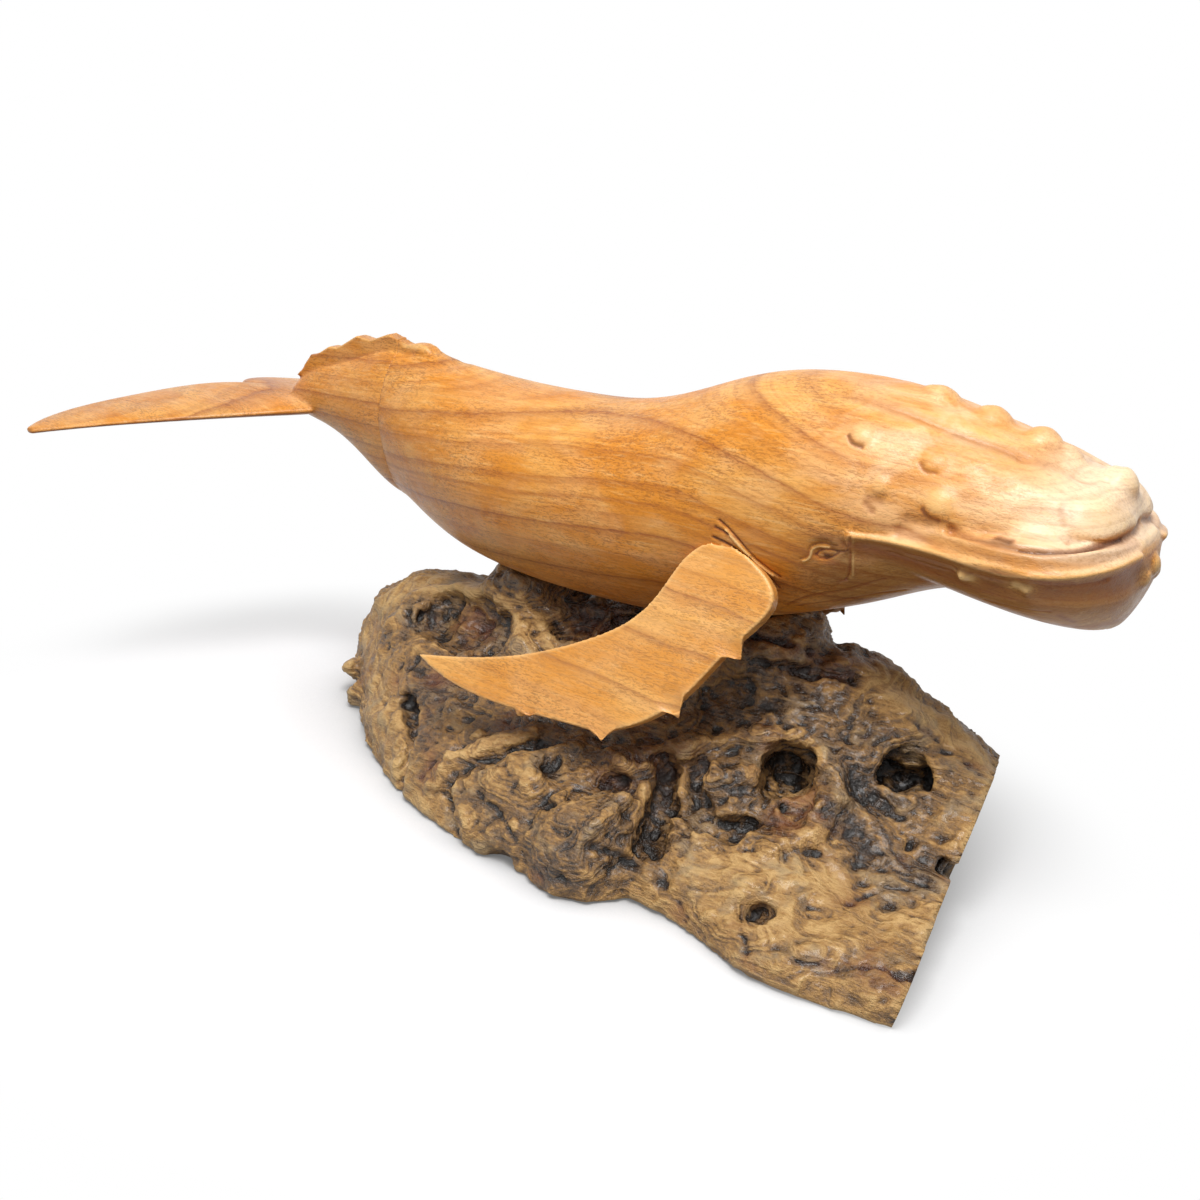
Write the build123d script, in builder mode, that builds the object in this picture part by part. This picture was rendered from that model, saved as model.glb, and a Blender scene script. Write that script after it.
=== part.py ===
from math import copysign, cos, pi, radians, sin, tan
import os

from build123d import *

os.makedirs("parts", exist_ok=True)

# A humpback whale carved in light wood, screwed down on a base of driftwood root
# X runs from the flukes to the head, Z is up and the whale's right side faces -Y
# The origin lies under the base, on the surface that the base stands on

# Whale body, from its glued tail joint to the tip of the snout
body_length = 268.0
joint_reach = 88.0
nose_reach = body_length - joint_reach
belly_height = 60.0
body_depth = 84.0
body_half_width = 33.5
ring_steps = 16
# Along, low, widest level, high, half width, upper power, lower power
body_shares = (
    (0.000, 0.232, 0.61, 0.874, 0.40, 1.30, 1.10),
    (0.050, 0.163, 0.57, 0.865, 0.54, 1.25, 1.05),
    (0.115, 0.084, 0.51, 0.840, 0.70, 1.15, 1.00),
    (0.200, 0.030, 0.45, 0.806, 0.87, 1.05, 1.00),
    (0.300, 0.004, 0.42, 0.791, 0.95, 1.00, 1.00),
    (0.390, 0.000, 0.42, 0.806, 0.98, 1.00, 1.00),
    (0.470, 0.010, 0.44, 0.872, 1.00, 1.00, 1.00),
    (0.535, 0.045, 0.48, 0.945, 1.00, 1.00, 1.00),
    (0.600, 0.095, 0.52, 0.990, 1.00, 1.00, 1.00),
    (0.665, 0.163, 0.56, 1.000, 1.00, 1.00, 1.00),
    (0.725, 0.238, 0.59, 0.986, 0.97, 1.00, 1.00),
    (0.780, 0.315, 0.60, 0.950, 0.88, 0.95, 1.00),
    (0.830, 0.365, 0.60, 0.905, 0.85, 0.90, 1.00),
    (0.880, 0.400, 0.60, 0.855, 0.82, 0.85, 1.00),
    (0.925, 0.420, 0.60, 0.800, 0.72, 0.85, 1.00),
    (0.960, 0.440, 0.59, 0.755, 0.52, 0.90, 1.00),
    (0.980, 0.470, 0.57, 0.695, 0.28, 1.00, 1.00),
)

# Jaw with its lip, a blunt U that is wider than the snout inside it
jaw_length = 72.5
jaw_setback = 1.5
jaw_lip = 1.0
jaw_front = nose_reach - jaw_setback
jaw_back = jaw_front - jaw_length
jaw_half_width = body_half_width + jaw_lip
jaw_steps = 10
jaw_middle_share = 0.60
jaw_corner_share = 0.985
jaw_blunt_power = 0.80
jaw_chin_slope = 8.0
# Height over the belly, half width, reach and downward slope of each level from the chin to the upper lip
jaw_shares = (
    (0.425, 0.52, 0.925, 1.00),
    (0.468, 0.86, 0.975, 0.50),
    (0.530, 1.00, 1.000, 0.00),
    (0.615, 0.92, 0.975, 0.00),
)

# Knobs on the head
knob_radius = 3.6
knob_sink_share = 0.50
# Along, degrees up from the widest level, size
side_knob_shares = (
    (0.715, 40, 1.00),
    (0.760, 20, 0.95),
    (0.792, 36, 0.90),
    (0.815, 15, 1.05),
    (0.862, 36, 0.85),
    (0.907, 9, 0.80),
    (0.945, 42, 0.90),
)
# Along and size
ridge_knob_shares = (
    (0.793, 1.20),
    (0.867, 1.20),
    (0.915, 1.20),
    (0.955, 1.10),
)
# Along the jaw, height over the belly, size
jaw_knob_shares = (
    (0.46, 0.496, 0.75),
    (0.69, 0.492, 0.80),
)
chin_knob_height_share = 0.52

# Carved eyes just behind the corners of the mouth, each a shallow dish with a pupil in it
eye_setback = 6.0
eye_radius = 4.0
eye_depth = 1.0
pupil_radius = 2.0
pupil_sink_share = 0.50
eye_angle = -13.8

# Crest of knuckles along the tail
crest_thickness = 5.0
crest_foot_share = 0.70
# Along from the joint, height over the belly
crest_shares = (
    (-0.200, 0.690),
    (-0.188, 0.722),
    (-0.168, 0.795),
    (-0.155, 0.800),
    (-0.130, 0.842),
    (-0.115, 0.842),
    (-0.105, 0.855),
    (-0.075, 0.905),
    (-0.050, 0.893),
    (-0.016, 0.930),
    (0.018, 0.895),
    (0.034, 0.905),
    (0.085, 0.865),
)

# Tail stock, from the joint to its end between the flukes
stock_length = 56.0
# The body's first row is the stock's first row too
stock_shares = (
    (0.300, 0.345, 0.61, 0.840, 0.33, 1.30, 1.05),
    (0.600, 0.460, 0.61, 0.780, 0.25, 1.25, 1.00),
    (0.850, 0.505, 0.60, 0.720, 0.18, 1.10, 1.00),
    (1.000, 0.535, 0.59, 0.640, 0.12, 1.00, 1.00),
)

# Flukes, which spring from the end of the stock
fluke_half_span = 81.0
fluke_chord = 58.0
fluke_thickness = 8.0
fluke_tilt = 3.0
fluke_roll = 4.0
fluke_front_share = 0.68
fluke_level_share = 0.5535
# Out along the lobe, sweep of the front edge, chord, thickness, rise
fluke_shares = (
    (0.00, 0.00, 0.80, 1.00, 0.15),
    (0.12, 0.08, 0.98, 1.00, 0.10),
    (0.35, 0.34, 0.86, 0.80, -0.10),
    (0.60, 0.66, 0.64, 0.62, -0.40),
    (0.82, 0.97, 0.38, 0.48, -0.75),
    (0.95, 1.15, 0.17, 0.36, -1.00),
    (1.00, 1.22, 0.06, 0.30, -1.10),
)

# Flippers, drawn in the plane of the blade from the rear corner of the root
flipper_reach = 97.0
flipper_drop = 63.0
flipper_thickness = 4.6
flipper_lean = 24.0
flipper_yaw = 4.0
# Rear corner of the root on the body: along, out from the middle, height over the belly
flipper_root_place_shares = (0.5784, 0.925, 0.4405)
flipper_trailing_shares = (
    (0.00, 0.00),
    (-0.07, -0.04),
    (-0.19, -0.34),
    (-0.39, -0.58),
    (-0.63, -0.73),
    (-1.00, -0.84),
)
flipper_leading_shares = (
    (-1.00, -0.84),
    (-0.79, -0.955),
    (-0.54, -0.985),
    (-0.29, -0.99),
)
flipper_root_shares = (
    (-0.29, -0.99),
    (-0.02, -0.74),
    (0.12, -0.43),
    (0.20, -0.20),
    (0.13, -0.08),
    (0.00, 0.00),
)
flipper_knob_radius = 1.9
flipper_knob_shares = (
    (-0.57, -0.985),
    (-0.285, -0.980),
    (-0.050, -0.785),
    (0.110, -0.475),
)
# Glued pad behind the root, carved to the flank
flipper_pad_depth = 16.0
flipper_pad_shares = (
    (-0.02, -0.05),
    (0.08, -0.09),
    (0.13, -0.19),
    (0.09, -0.32),
    (-0.02, -0.34),
    (-0.09, -0.20),
)

# Blind pins in the flippers and blind dowel in the tail joint
glue_gap = 0.05
flipper_pin_diameter = 2.5
flipper_pin_length = 20.0
flipper_pin_cover = 1.6
flipper_pin_shares = (0.06, -0.20)
tail_dowel_diameter = 6.0
tail_dowel_length = 34.0
tail_dowel_level_share = 0.571

# Driftwood base, before its end is sawn
base_left = 120.0
base_right = 172.0
base_front = 90.0
base_back = 60.0
belly_clearance = 1.0
base_foot_height = 5.0
base_length = base_left + base_right
base_height = belly_height - belly_clearance
overrun = 10.0
# Along, front foot, slope place and height, ridge place and height, back shoulder place and height, back foot
base_shares = (
    (0.000, -0.02, -0.01, 0.10, 0.02, 0.20, 0.10, 0.12, 0.17),
    (0.041, -0.13, -0.09, 0.34, 0.03, 0.56, 0.27, 0.39, 0.43),
    (0.110, -0.34, -0.20, 0.53, 0.10, 0.80, 0.43, 0.51, 0.70),
    (0.205, -0.58, -0.31, 0.58, 0.07, 0.86, 0.50, 0.58, 0.83),
    (0.308, -0.76, -0.40, 0.56, 0.08, 0.92, 0.53, 0.61, 0.90),
    (0.411, -0.87, -0.47, 0.53, 0.13, 0.95, 0.55, 0.63, 0.93),
    (0.514, -0.92, -0.50, 0.51, 0.15, 0.97, 0.57, 0.64, 0.95),
    (0.616, -0.84, -0.48, 0.47, 0.13, 0.98, 0.60, 0.64, 0.95),
    (0.719, -0.89, -0.49, 0.41, 0.12, 0.97, 0.60, 0.59, 0.92),
    (0.795, -0.97, -0.53, 0.32, 0.13, 0.85, 0.55, 0.51, 0.87),
    (0.873, -0.97, -0.53, 0.25, 0.08, 0.63, 0.48, 0.37, 0.80),
    (1.000, -0.87, -0.51, 0.20, 0.03, 0.47, 0.37, 0.25, 0.67),
)
# Hollows and lumps of the root: along, across, height, size
root_spot_radius = 14.0
hollow_shares = (
    (0.205, -0.211, 0.814, 0.93),
    (0.257, -0.256, 0.814, 1.00),
    (0.305, -0.300, 0.797, 0.86),
    (0.404, -0.144, 0.915, 0.71),
    (0.466, -0.167, 0.881, 0.93),
    (0.538, -0.167, 0.847, 0.86),
    (0.725, -0.333, 0.525, 0.68),
    (0.827, -0.178, 0.559, 0.57),
    (0.709, -0.600, 0.322, 0.29),
    (0.781, -0.844, 0.212, 0.25),
    (0.486, -0.944, -0.017, 0.46),
)
lump_shares = (
    (0.048, -0.178, 0.169, 0.32),
    (0.089, -0.267, 0.051, 0.43),
    (0.568, -0.733, 0.034, 1.57),
    (0.469, -0.644, 0.102, 1.43),
)

# Ridges that stand out of the root and grooves that run into it: size, then points in the same terms
ridge_shares = (
    (0.36, (
        (0.360, -0.756, 0.136), (0.370, -0.700, 0.254),
        (0.411, -0.622, 0.356), (0.445, -0.544, 0.424),
    )),
    (0.32, (
        (0.493, -0.756, 0.322), (0.479, -0.678, 0.390), (0.483, -0.578, 0.424),
        (0.521, -0.511, 0.441), (0.565, -0.522, 0.424),
    )),
    (0.39, ((0.568, -0.544, 0.424), (0.616, -0.411, 0.508))),
    (0.36, (
        (0.695, -0.278, 0.542), (0.726, -0.233, 0.576), (0.760, -0.256, 0.559),
        (0.781, -0.356, 0.458), (0.781, -0.489, 0.339), (0.750, -0.600, 0.271),
    )),
    (0.29, ((0.623, -0.389, 0.542), (0.664, -0.311, 0.593), (0.719, -0.256, 0.627))),
    (0.32, (
        (0.137, -0.200, 0.559), (0.144, -0.089, 0.712), (0.212, -0.044, 0.797),
        (0.288, -0.100, 0.831), (0.336, -0.189, 0.780), (0.370, -0.278, 0.678),
    )),
    (0.46, ((0.243, -0.178, 0.593), (0.298, -0.189, 0.627))),
    (0.32, ((0.606, -0.578, 0.356), (0.623, -0.711, 0.254), (0.644, -0.778, 0.136))),
    (0.39, ((0.661, -0.467, 0.441), (0.692, -0.411, 0.458))),
)
groove_shares = (
    (0.26, (
        (0.380, -0.844, 0.136), (0.384, -0.767, 0.271), (0.418, -0.700, 0.356),
        (0.455, -0.611, 0.441), (0.486, -0.544, 0.508),
    )),
    (0.36, ((0.610, -0.511, 0.492), (0.627, -0.633, 0.356), (0.637, -0.733, 0.237))),
    (0.31, (
        (0.640, -0.478, 0.508), (0.651, -0.556, 0.424),
        (0.682, -0.622, 0.339), (0.712, -0.567, 0.322),
    )),
    (0.24, ((0.240, -0.500, 0.373), (0.291, -0.656, 0.271), (0.298, -0.767, 0.051))),
    (0.31, ((0.548, -0.756, 0.407), (0.558, -0.644, 0.441), (0.586, -0.633, 0.424))),
    (0.50, ((0.712, -0.289, 0.475), (0.723, -0.311, 0.525))),
    (0.43, ((0.808, -0.144, 0.492), (0.839, -0.111, 0.492))),
    (0.24, ((0.767, -0.844, 0.203), (0.781, -0.833, 0.186))),
)
strand_knuckle_share = 1.06

# Sawn end of the base, with a kerf that the saw left in it
sawn_end_reach = 132.5
sawn_end_turn = 13.0
sawn_end_lean = 17.0
kerf_width = 3.0
kerf_depth = 11.0
kerf_descent = 30.0
kerf_across_share = -0.40
kerf_height_share = 0.31

# Seats that the root offers to the belly
seat_radius = 20.0
# Along the body and depth of the middle under the belly
seat_shares = (
    (0.216, 0.70),
    (0.575, 0.42),
)

# Screws up through the base into the belly, one in each seat
screw_diameter = 4.0
screw_core_diameter = 2.8
screw_thread_length = 30.0
screw_pitch = 2.0
screw_bite = 22.0
screw_head_diameter = 8.0
screw_head_height = 2.6
screw_drive_width = 1.0
screw_drive_length = 4.6
screw_drive_depth = 1.4
screw_bore_diameter = 10.0
screw_bore_depth = 26.0
screw_offset = 2.0


def ring_points(half_width, low, level, high, upper_power, lower_power):
    """Points round one cross-section, from its top down one flank, round the belly and up the other flank."""
    points = []
    for step in range(ring_steps):
        turn = pi / 2 + 2 * pi * step / ring_steps
        across = cos(turn)
        up = sin(turn)
        power = upper_power if up >= 0 else lower_power
        reach = high - level if up >= 0 else level - low
        y = half_width * copysign(abs(across) ** power, across)
        z = level + reach * copysign(abs(up) ** power, up)
        points.append((y, z))
    return points


def body_ring(row):
    """Cross-section of one row of the body's or the stock's table."""
    low, level, high, wide, upper_power, lower_power = row[1:]
    return ring_points(
        wide * body_half_width,
        belly_height + low * body_depth,
        belly_height + level * body_depth,
        belly_height + high * body_depth,
        upper_power,
        lower_power,
    )


def body_x(along):
    """Place along the body for a share of its length."""
    return along * body_length - joint_reach


def skin_frame(along, angle):
    """A point on the body's right flank and the direction out of it, an angle in degrees above its widest level."""
    for before, after in zip(body_shares, body_shares[1:]):
        if before[0] <= along <= after[0]:
            part = (along - before[0]) / (after[0] - before[0])
            row = [a + part * (b - a) for a, b in zip(before, after)]
    low, level, high, wide, upper_power, lower_power = row[1:]
    power = upper_power if angle >= 0 else lower_power
    reach = body_depth * (high - level if angle >= 0 else level - low)
    across = cos(radians(angle)) ** power
    up = copysign(abs(sin(radians(angle))) ** power, angle)
    half_width = wide * body_half_width
    point = Vector(body_x(along), -half_width * across, belly_height + body_depth * level + reach * up)
    outward = Vector(0, -across / half_width, up / reach).normalized()
    return point, outward


def jaw_rim(half_width, length):
    """Points of one level of the jaw, from its left corner round the blunt front to its right corner."""
    middle = jaw_middle_share * length
    points = [(0, half_width * jaw_corner_share)]
    for step in range(jaw_steps + 1):
        turn = pi / 2 - pi * step / jaw_steps
        x = middle + (length - middle) * abs(cos(turn)) ** jaw_blunt_power
        y = half_width * copysign(abs(sin(turn)) ** jaw_blunt_power, turn)
        points.append((x, y))
    points.append((0, -half_width * jaw_corner_share))
    return points


def jaw_side(along, height):
    """How far out the jaw's side is, at a share of its length and a height over the belly."""
    x = along * jaw_length
    for level, wide, reach, slope in jaw_shares:
        blunt = max(0, x / (reach * jaw_length) - jaw_middle_share) / (1 - jaw_middle_share)
        across = (1 - min(1, blunt) ** (2 / jaw_blunt_power)) ** (jaw_blunt_power / 2)
        this_height = level * body_depth - x * tan(radians(slope * jaw_chin_slope))
        this_side = wide * across * jaw_half_width
        if this_height > height * body_depth:
            part = (height * body_depth - last_height) / (this_height - last_height)
            return last_side + part * (this_side - last_side)
        last_height, last_side = this_height, this_side


def knob_places():
    """Centre and radius of each knob on the head, for both flanks, the ridge and the chin."""
    places = []
    for along, angle, size in side_knob_shares:
        point, outward = skin_frame(along, angle)
        centre = point - outward * (knob_radius * size * knob_sink_share)
        for side in (1, -1):
            places.append(((centre.X, side * centre.Y, centre.Z), knob_radius * size))
    for along, size in ridge_knob_shares:
        point, outward = skin_frame(along, 90)
        places.append(((point.X, 0, point.Z - knob_radius * size * knob_sink_share), knob_radius * size))
    for along, height, size in jaw_knob_shares:
        x = jaw_back + along * jaw_length
        y = jaw_side(along, height) - knob_radius * size * knob_sink_share
        for side in (1, -1):
            places.append(((x, side * y, belly_height + height * body_depth), knob_radius * size))
    chin = jaw_front - knob_radius * knob_sink_share
    places.append(((chin, 0, belly_height + chin_knob_height_share * body_depth), knob_radius))
    return places


# Jaw and trunk are one carved block
with BuildPart() as jaw:
    for height, wide, reach, slope in jaw_shares:
        slant = radians(slope * jaw_chin_slope)
        level = Plane(
            origin=(jaw_back, 0, belly_height + height * body_depth),
            x_dir=(cos(slant), 0, -sin(slant)),
            z_dir=(sin(slant), 0, cos(slant)),
        )
        with BuildSketch(level):
            with BuildLine():
                rim = Spline(*jaw_rim(wide * jaw_half_width, reach * jaw_length))
                Line(rim @ 1, rim @ 0)
            make_face()
    loft()

with BuildPart() as body_blank:
    for row in body_shares:
        with BuildSketch(Plane.YZ.offset(body_x(row[0]))):
            with BuildLine():
                Spline(*body_ring(row), periodic=True)
            make_face()
    loft()
    add(jaw.part)
    for centre, radius in knob_places():
        with Locations(centre):
            Sphere(radius)

# Crest of knuckles, one strip over the joint, shared by the body and the tail
with BuildPart() as crest:
    with BuildSketch(Plane.XZ):
        with BuildLine():
            top = [(body_x(along), belly_height + height * body_depth) for along, height in crest_shares]
            foot = belly_height + crest_foot_share * body_depth
            Polyline(*top, (top[-1][0], foot), top[0], close=True)
        make_face()
    extrude(amount=crest_thickness / 2, both=True)

# Blind dowel in the glued tail joint
tail_dowel_height = belly_height + tail_dowel_level_share * body_depth
dowel_start = Plane.YZ.offset(-joint_reach - tail_dowel_length / 2)
dowel_hole_start = dowel_start.offset(-glue_gap)
with BuildPart() as tail_dowel:
    with BuildSketch(dowel_start):
        with Locations((0, tail_dowel_height)):
            Circle(tail_dowel_diameter / 2)
    extrude(amount=tail_dowel_length)
tail_dowel.part.label = "tail_dowel"
export_step(tail_dowel.part, "parts/tail_dowel.step")
with BuildPart() as dowel_hole:
    with BuildSketch(dowel_hole_start):
        with Locations((0, tail_dowel_height)):
            Circle(tail_dowel_diameter / 2 + glue_gap)
    extrude(amount=tail_dowel_length + 2 * glue_gap)

# Tail stock and flukes, carved from the block that is glued on at the joint
fluke_front = joint_reach + fluke_front_share * stock_length
fluke_height = belly_height + fluke_level_share * body_depth
with BuildPart() as flukes:
    for out, sweep, chord, thick, rise in fluke_shares:
        middle = -(fluke_front + (sweep + chord / 2) * fluke_chord)
        with BuildSketch(Plane.XZ.offset(out * fluke_half_span)):
            with Locations((middle, fluke_height + rise * fluke_thickness)):
                Ellipse(chord * fluke_chord / 2, thick * fluke_thickness / 2, rotation=-fluke_tilt)
    loft()
    mirror(about=Plane.XZ)
fluke_axis = Axis((0, 0, fluke_height), (1, 0, 0))

joint = Plane.YZ.offset(-joint_reach)
with BuildPart() as tail_flukes:
    for row in (body_shares[0],) + stock_shares:
        with BuildSketch(joint.offset(-row[0] * stock_length)):
            with BuildLine():
                Spline(*body_ring(row), periodic=True)
            make_face()
    loft()
    add(flukes.part.rotate(fluke_axis, -fluke_roll))
    add(crest.part)
    split(bisect_by=joint, keep=Keep.BOTTOM)
    add(dowel_hole.part, mode=Mode.SUBTRACT)
tail_flukes.part.label = "tail_flukes"
export_step(tail_flukes.part, "parts/tail_flukes.step")

# Flippers
lean = radians(flipper_lean)
yaw = radians(flipper_yaw)
blade = Plane(
    origin=(
        body_x(flipper_root_place_shares[0]),
        -flipper_root_place_shares[1] * body_half_width,
        belly_height + flipper_root_place_shares[2] * body_depth,
    ),
    x_dir=(cos(yaw), sin(yaw), 0),
    z_dir=(sin(yaw) * cos(lean), -cos(yaw) * cos(lean), sin(lean)),
)
pin_end = blade.offset(flipper_thickness / 2 - flipper_pin_cover)
pin_hole_end = pin_end.offset(glue_gap)


def blade_points(shares):
    """Points in the plane of the blade."""
    return [(along * flipper_reach, down * flipper_drop) for along, down in shares]


pin_place = blade_points([flipper_pin_shares])[0]
with BuildPart() as right_flipper_pin:
    with BuildSketch(pin_end):
        with Locations(pin_place):
            Circle(flipper_pin_diameter / 2)
    extrude(amount=-flipper_pin_length)
right_flipper_pin.part.label = "right_flipper_pin"
export_step(right_flipper_pin.part, "parts/right_flipper_pin.step")
with BuildPart() as pin_hole:
    with BuildSketch(pin_hole_end):
        with Locations(pin_place):
            Circle(flipper_pin_diameter / 2 + glue_gap)
    extrude(amount=-flipper_pin_length - 2 * glue_gap)

with BuildPart() as right_flipper:
    with BuildSketch(blade):
        with BuildLine():
            Spline(*blade_points(flipper_trailing_shares))
            Spline(*blade_points(flipper_leading_shares))
            Spline(*blade_points(flipper_root_shares))
        make_face()
    extrude(amount=flipper_thickness / 2, both=True)
    with Locations(*[blade.from_local_coords(Vector(*point, 0)) for point in blade_points(flipper_knob_shares)]):
        Sphere(flipper_knob_radius)
    with BuildSketch(blade):
        with BuildLine():
            Spline(*blade_points(flipper_pad_shares), periodic=True)
        make_face()
    extrude(amount=-flipper_pad_depth)
    add(body_blank.part, mode=Mode.SUBTRACT)
    add(pin_hole.part, mode=Mode.SUBTRACT)
right_flipper.part.label = "right_flipper"
export_step(right_flipper.part, "parts/right_flipper.step")

# The left flipper and its pin mirror the right ones
with BuildPart() as left_flipper:
    add(right_flipper.part.mirror(Plane.XZ))
left_flipper.part.label = "left_flipper"
export_step(left_flipper.part, "parts/left_flipper.step")
with BuildPart() as left_flipper_pin:
    add(right_flipper_pin.part.mirror(Plane.XZ))
left_flipper_pin.part.label = "left_flipper_pin"
export_step(left_flipper_pin.part, "parts/left_flipper_pin.step")

# Screws, each made on its head's seat
screw_reach = belly_height + screw_bite - screw_bore_depth
with BuildPart() as screw:
    with BuildSketch(Plane.XZ):
        with BuildLine():
            thread_start = screw_reach - screw_thread_length
            profile = [
                (0, -screw_head_height),
                (screw_head_diameter / 2, -screw_head_height),
                (screw_head_diameter / 2, 0),
                (screw_diameter / 2, 0),
                (screw_diameter / 2, thread_start),
            ]
            for turn in range(int(screw_thread_length / screw_pitch) - 1):
                profile.append((screw_core_diameter / 2, thread_start + (turn + 0.5) * screw_pitch))
                profile.append((screw_diameter / 2, thread_start + (turn + 1) * screw_pitch))
            Polyline(*profile, (0, screw_reach), profile[0])
        make_face()
    revolve(axis=Axis.Z)
    with BuildSketch(Plane.XY.offset(-screw_head_height)):
        Rectangle(screw_drive_length, screw_drive_width)
        Rectangle(screw_drive_width, screw_drive_length)
    extrude(amount=screw_drive_depth, mode=Mode.SUBTRACT)

screw_spots = [(body_x(along), screw_offset, screw_bore_depth) for along, drop in seat_shares]
with BuildPart() as rear_screw:
    with Locations(screw_spots[0]):
        add(screw.part)
rear_screw.part.label = "rear_screw"
export_step(rear_screw.part, "parts/rear_screw.step")
with BuildPart() as front_screw:
    with Locations(screw_spots[1]):
        add(screw.part)
front_screw.part.label = "front_screw"
export_step(front_screw.part, "parts/front_screw.step")

# Holes that the screws stand in, through the base and up into the belly
with BuildPart() as screw_holes:
    for x, y, z in screw_spots:
        with BuildSketch(Plane.XY.offset(z)):
            with Locations((x, y)):
                Circle(screw_diameter / 2 + glue_gap)
        extrude(amount=screw_reach + glue_gap)
        with BuildSketch(Plane.XY.offset(-overrun)):
            with Locations((x, y)):
                Circle(screw_bore_diameter / 2)
        extrude(amount=z + overrun)

eye_point, eye_out = skin_frame((jaw_back - eye_setback + joint_reach) / body_length, eye_angle)
eye_ball_radius = (eye_radius**2 + eye_depth**2) / (2 * eye_depth)
with BuildPart() as whale_body:
    add(crest.part)
    split(bisect_by=joint, keep=Keep.TOP)
    add(body_blank.part)
    for side in (1, -1):
        socket = eye_point + eye_out * (eye_ball_radius - eye_depth)
        pupil = eye_point - eye_out * (eye_depth + pupil_sink_share * pupil_radius)
        with Locations((socket.X, side * socket.Y, socket.Z)):
            Sphere(eye_ball_radius, mode=Mode.SUBTRACT)
        with Locations((pupil.X, side * pupil.Y, pupil.Z)):
            Sphere(pupil_radius)
    add(dowel_hole.part, mode=Mode.SUBTRACT)
    add(pin_hole.part, mode=Mode.SUBTRACT)
    add(pin_hole.part.mirror(Plane.XZ), mode=Mode.SUBTRACT)
    add(screw_holes.part, mode=Mode.SUBTRACT)
whale_body.part.label = "whale_body"
export_step(whale_body.part, "parts/whale_body.step")


def base_ring(row):
    """Cross-section of one row of the base's table, from its front foot over the ridge to its heel."""
    foot, slope, slope_high, ridge, ridge_high, shoulder, shoulder_high, heel = row[1:]
    return [
        (foot * base_front, -overrun),
        (foot * base_front, base_foot_height),
        (slope * base_front, slope_high * base_height),
        (ridge * base_back, ridge_high * base_height),
        (shoulder * base_back, shoulder_high * base_height),
        (heel * base_back, base_foot_height),
        (heel * base_back, -overrun),
    ]


def root_point(along, across, height):
    """A point of the root from its shares."""
    return Vector(along * base_length - base_left, across * base_front, height * base_height)


def root_spots(shares):
    """Centre and radius of each hollow or lump in a table."""
    return [(root_point(*place), size * root_spot_radius) for *place, size in shares]


def root_strands(shares):
    """Adds the round strands of a table, each through its points, to the part that is being built."""
    for size, places in shares:
        radius = size * root_spot_radius
        points = [root_point(*place) for place in places]
        with Locations(*points):
            Sphere(strand_knuckle_share * radius)
        for start, end in zip(points, points[1:]):
            with Locations(Plane(origin=(start + end) / 2, z_dir=end - start)):
                Cylinder(radius, (end - start).length)


turn = radians(sawn_end_turn)
tip = radians(sawn_end_lean)
sawn_normal = Vector(cos(turn) * cos(tip), sin(turn) * cos(tip), -sin(tip))
sawn_end = Plane(origin=(sawn_end_reach, 0, 0), z_dir=sawn_normal)
kerf_y = kerf_across_share * base_front
kerf_z = kerf_height_share * base_height
kerf_x = sawn_end_reach - (sawn_normal.Y * kerf_y + sawn_normal.Z * kerf_z) / sawn_normal.X
descent = radians(kerf_descent)
kerf_along = Vector(-sin(turn) * cos(descent), cos(turn) * cos(descent), -sin(descent))
kerf = Plane(origin=(kerf_x, kerf_y, kerf_z), x_dir=kerf_along, z_dir=kerf_along.cross(sawn_normal))
with BuildPart() as root_ridges:
    root_strands(ridge_shares)
with BuildPart() as root_grooves:
    root_strands(groove_shares)

with BuildPart() as driftwood_base:
    for row in base_shares:
        with BuildSketch(Plane.YZ.offset(row[0] * base_length - base_left)):
            with BuildLine():
                over = Spline(*base_ring(row))
                Line(over @ 1, over @ 0)
            make_face()
    loft()
    for centre, radius in root_spots(lump_shares):
        with Locations(centre):
            Sphere(radius)
    add(root_ridges.part)
    for along, drop in seat_shares:
        with Locations((body_x(along), screw_offset, belly_height - drop * seat_radius)):
            Sphere(seat_radius)
    split(bisect_by=sawn_end, keep=Keep.BOTTOM)
    split(bisect_by=Plane.XY, keep=Keep.TOP)
    for centre, radius in root_spots(hollow_shares):
        with Locations(centre):
            Sphere(radius, mode=Mode.SUBTRACT)
    add(root_grooves.part, mode=Mode.SUBTRACT)
    with Locations(kerf):
        Box(2 * base_length, 2 * kerf_depth, kerf_width, mode=Mode.SUBTRACT)
    add(body_blank.part, mode=Mode.SUBTRACT)
    add(screw_holes.part, mode=Mode.SUBTRACT)
driftwood_base.part.label = "driftwood_base"
export_step(driftwood_base.part, "parts/driftwood_base.step")
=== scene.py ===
import math

import bmesh
import bpy
import numpy as np
from bpy.props import FloatProperty, FloatVectorProperty, PointerProperty
from bpy.types import Operator, Panel, PropertyGroup
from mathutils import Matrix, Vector, noise
from mathutils.bvhtree import BVHTree


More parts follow.
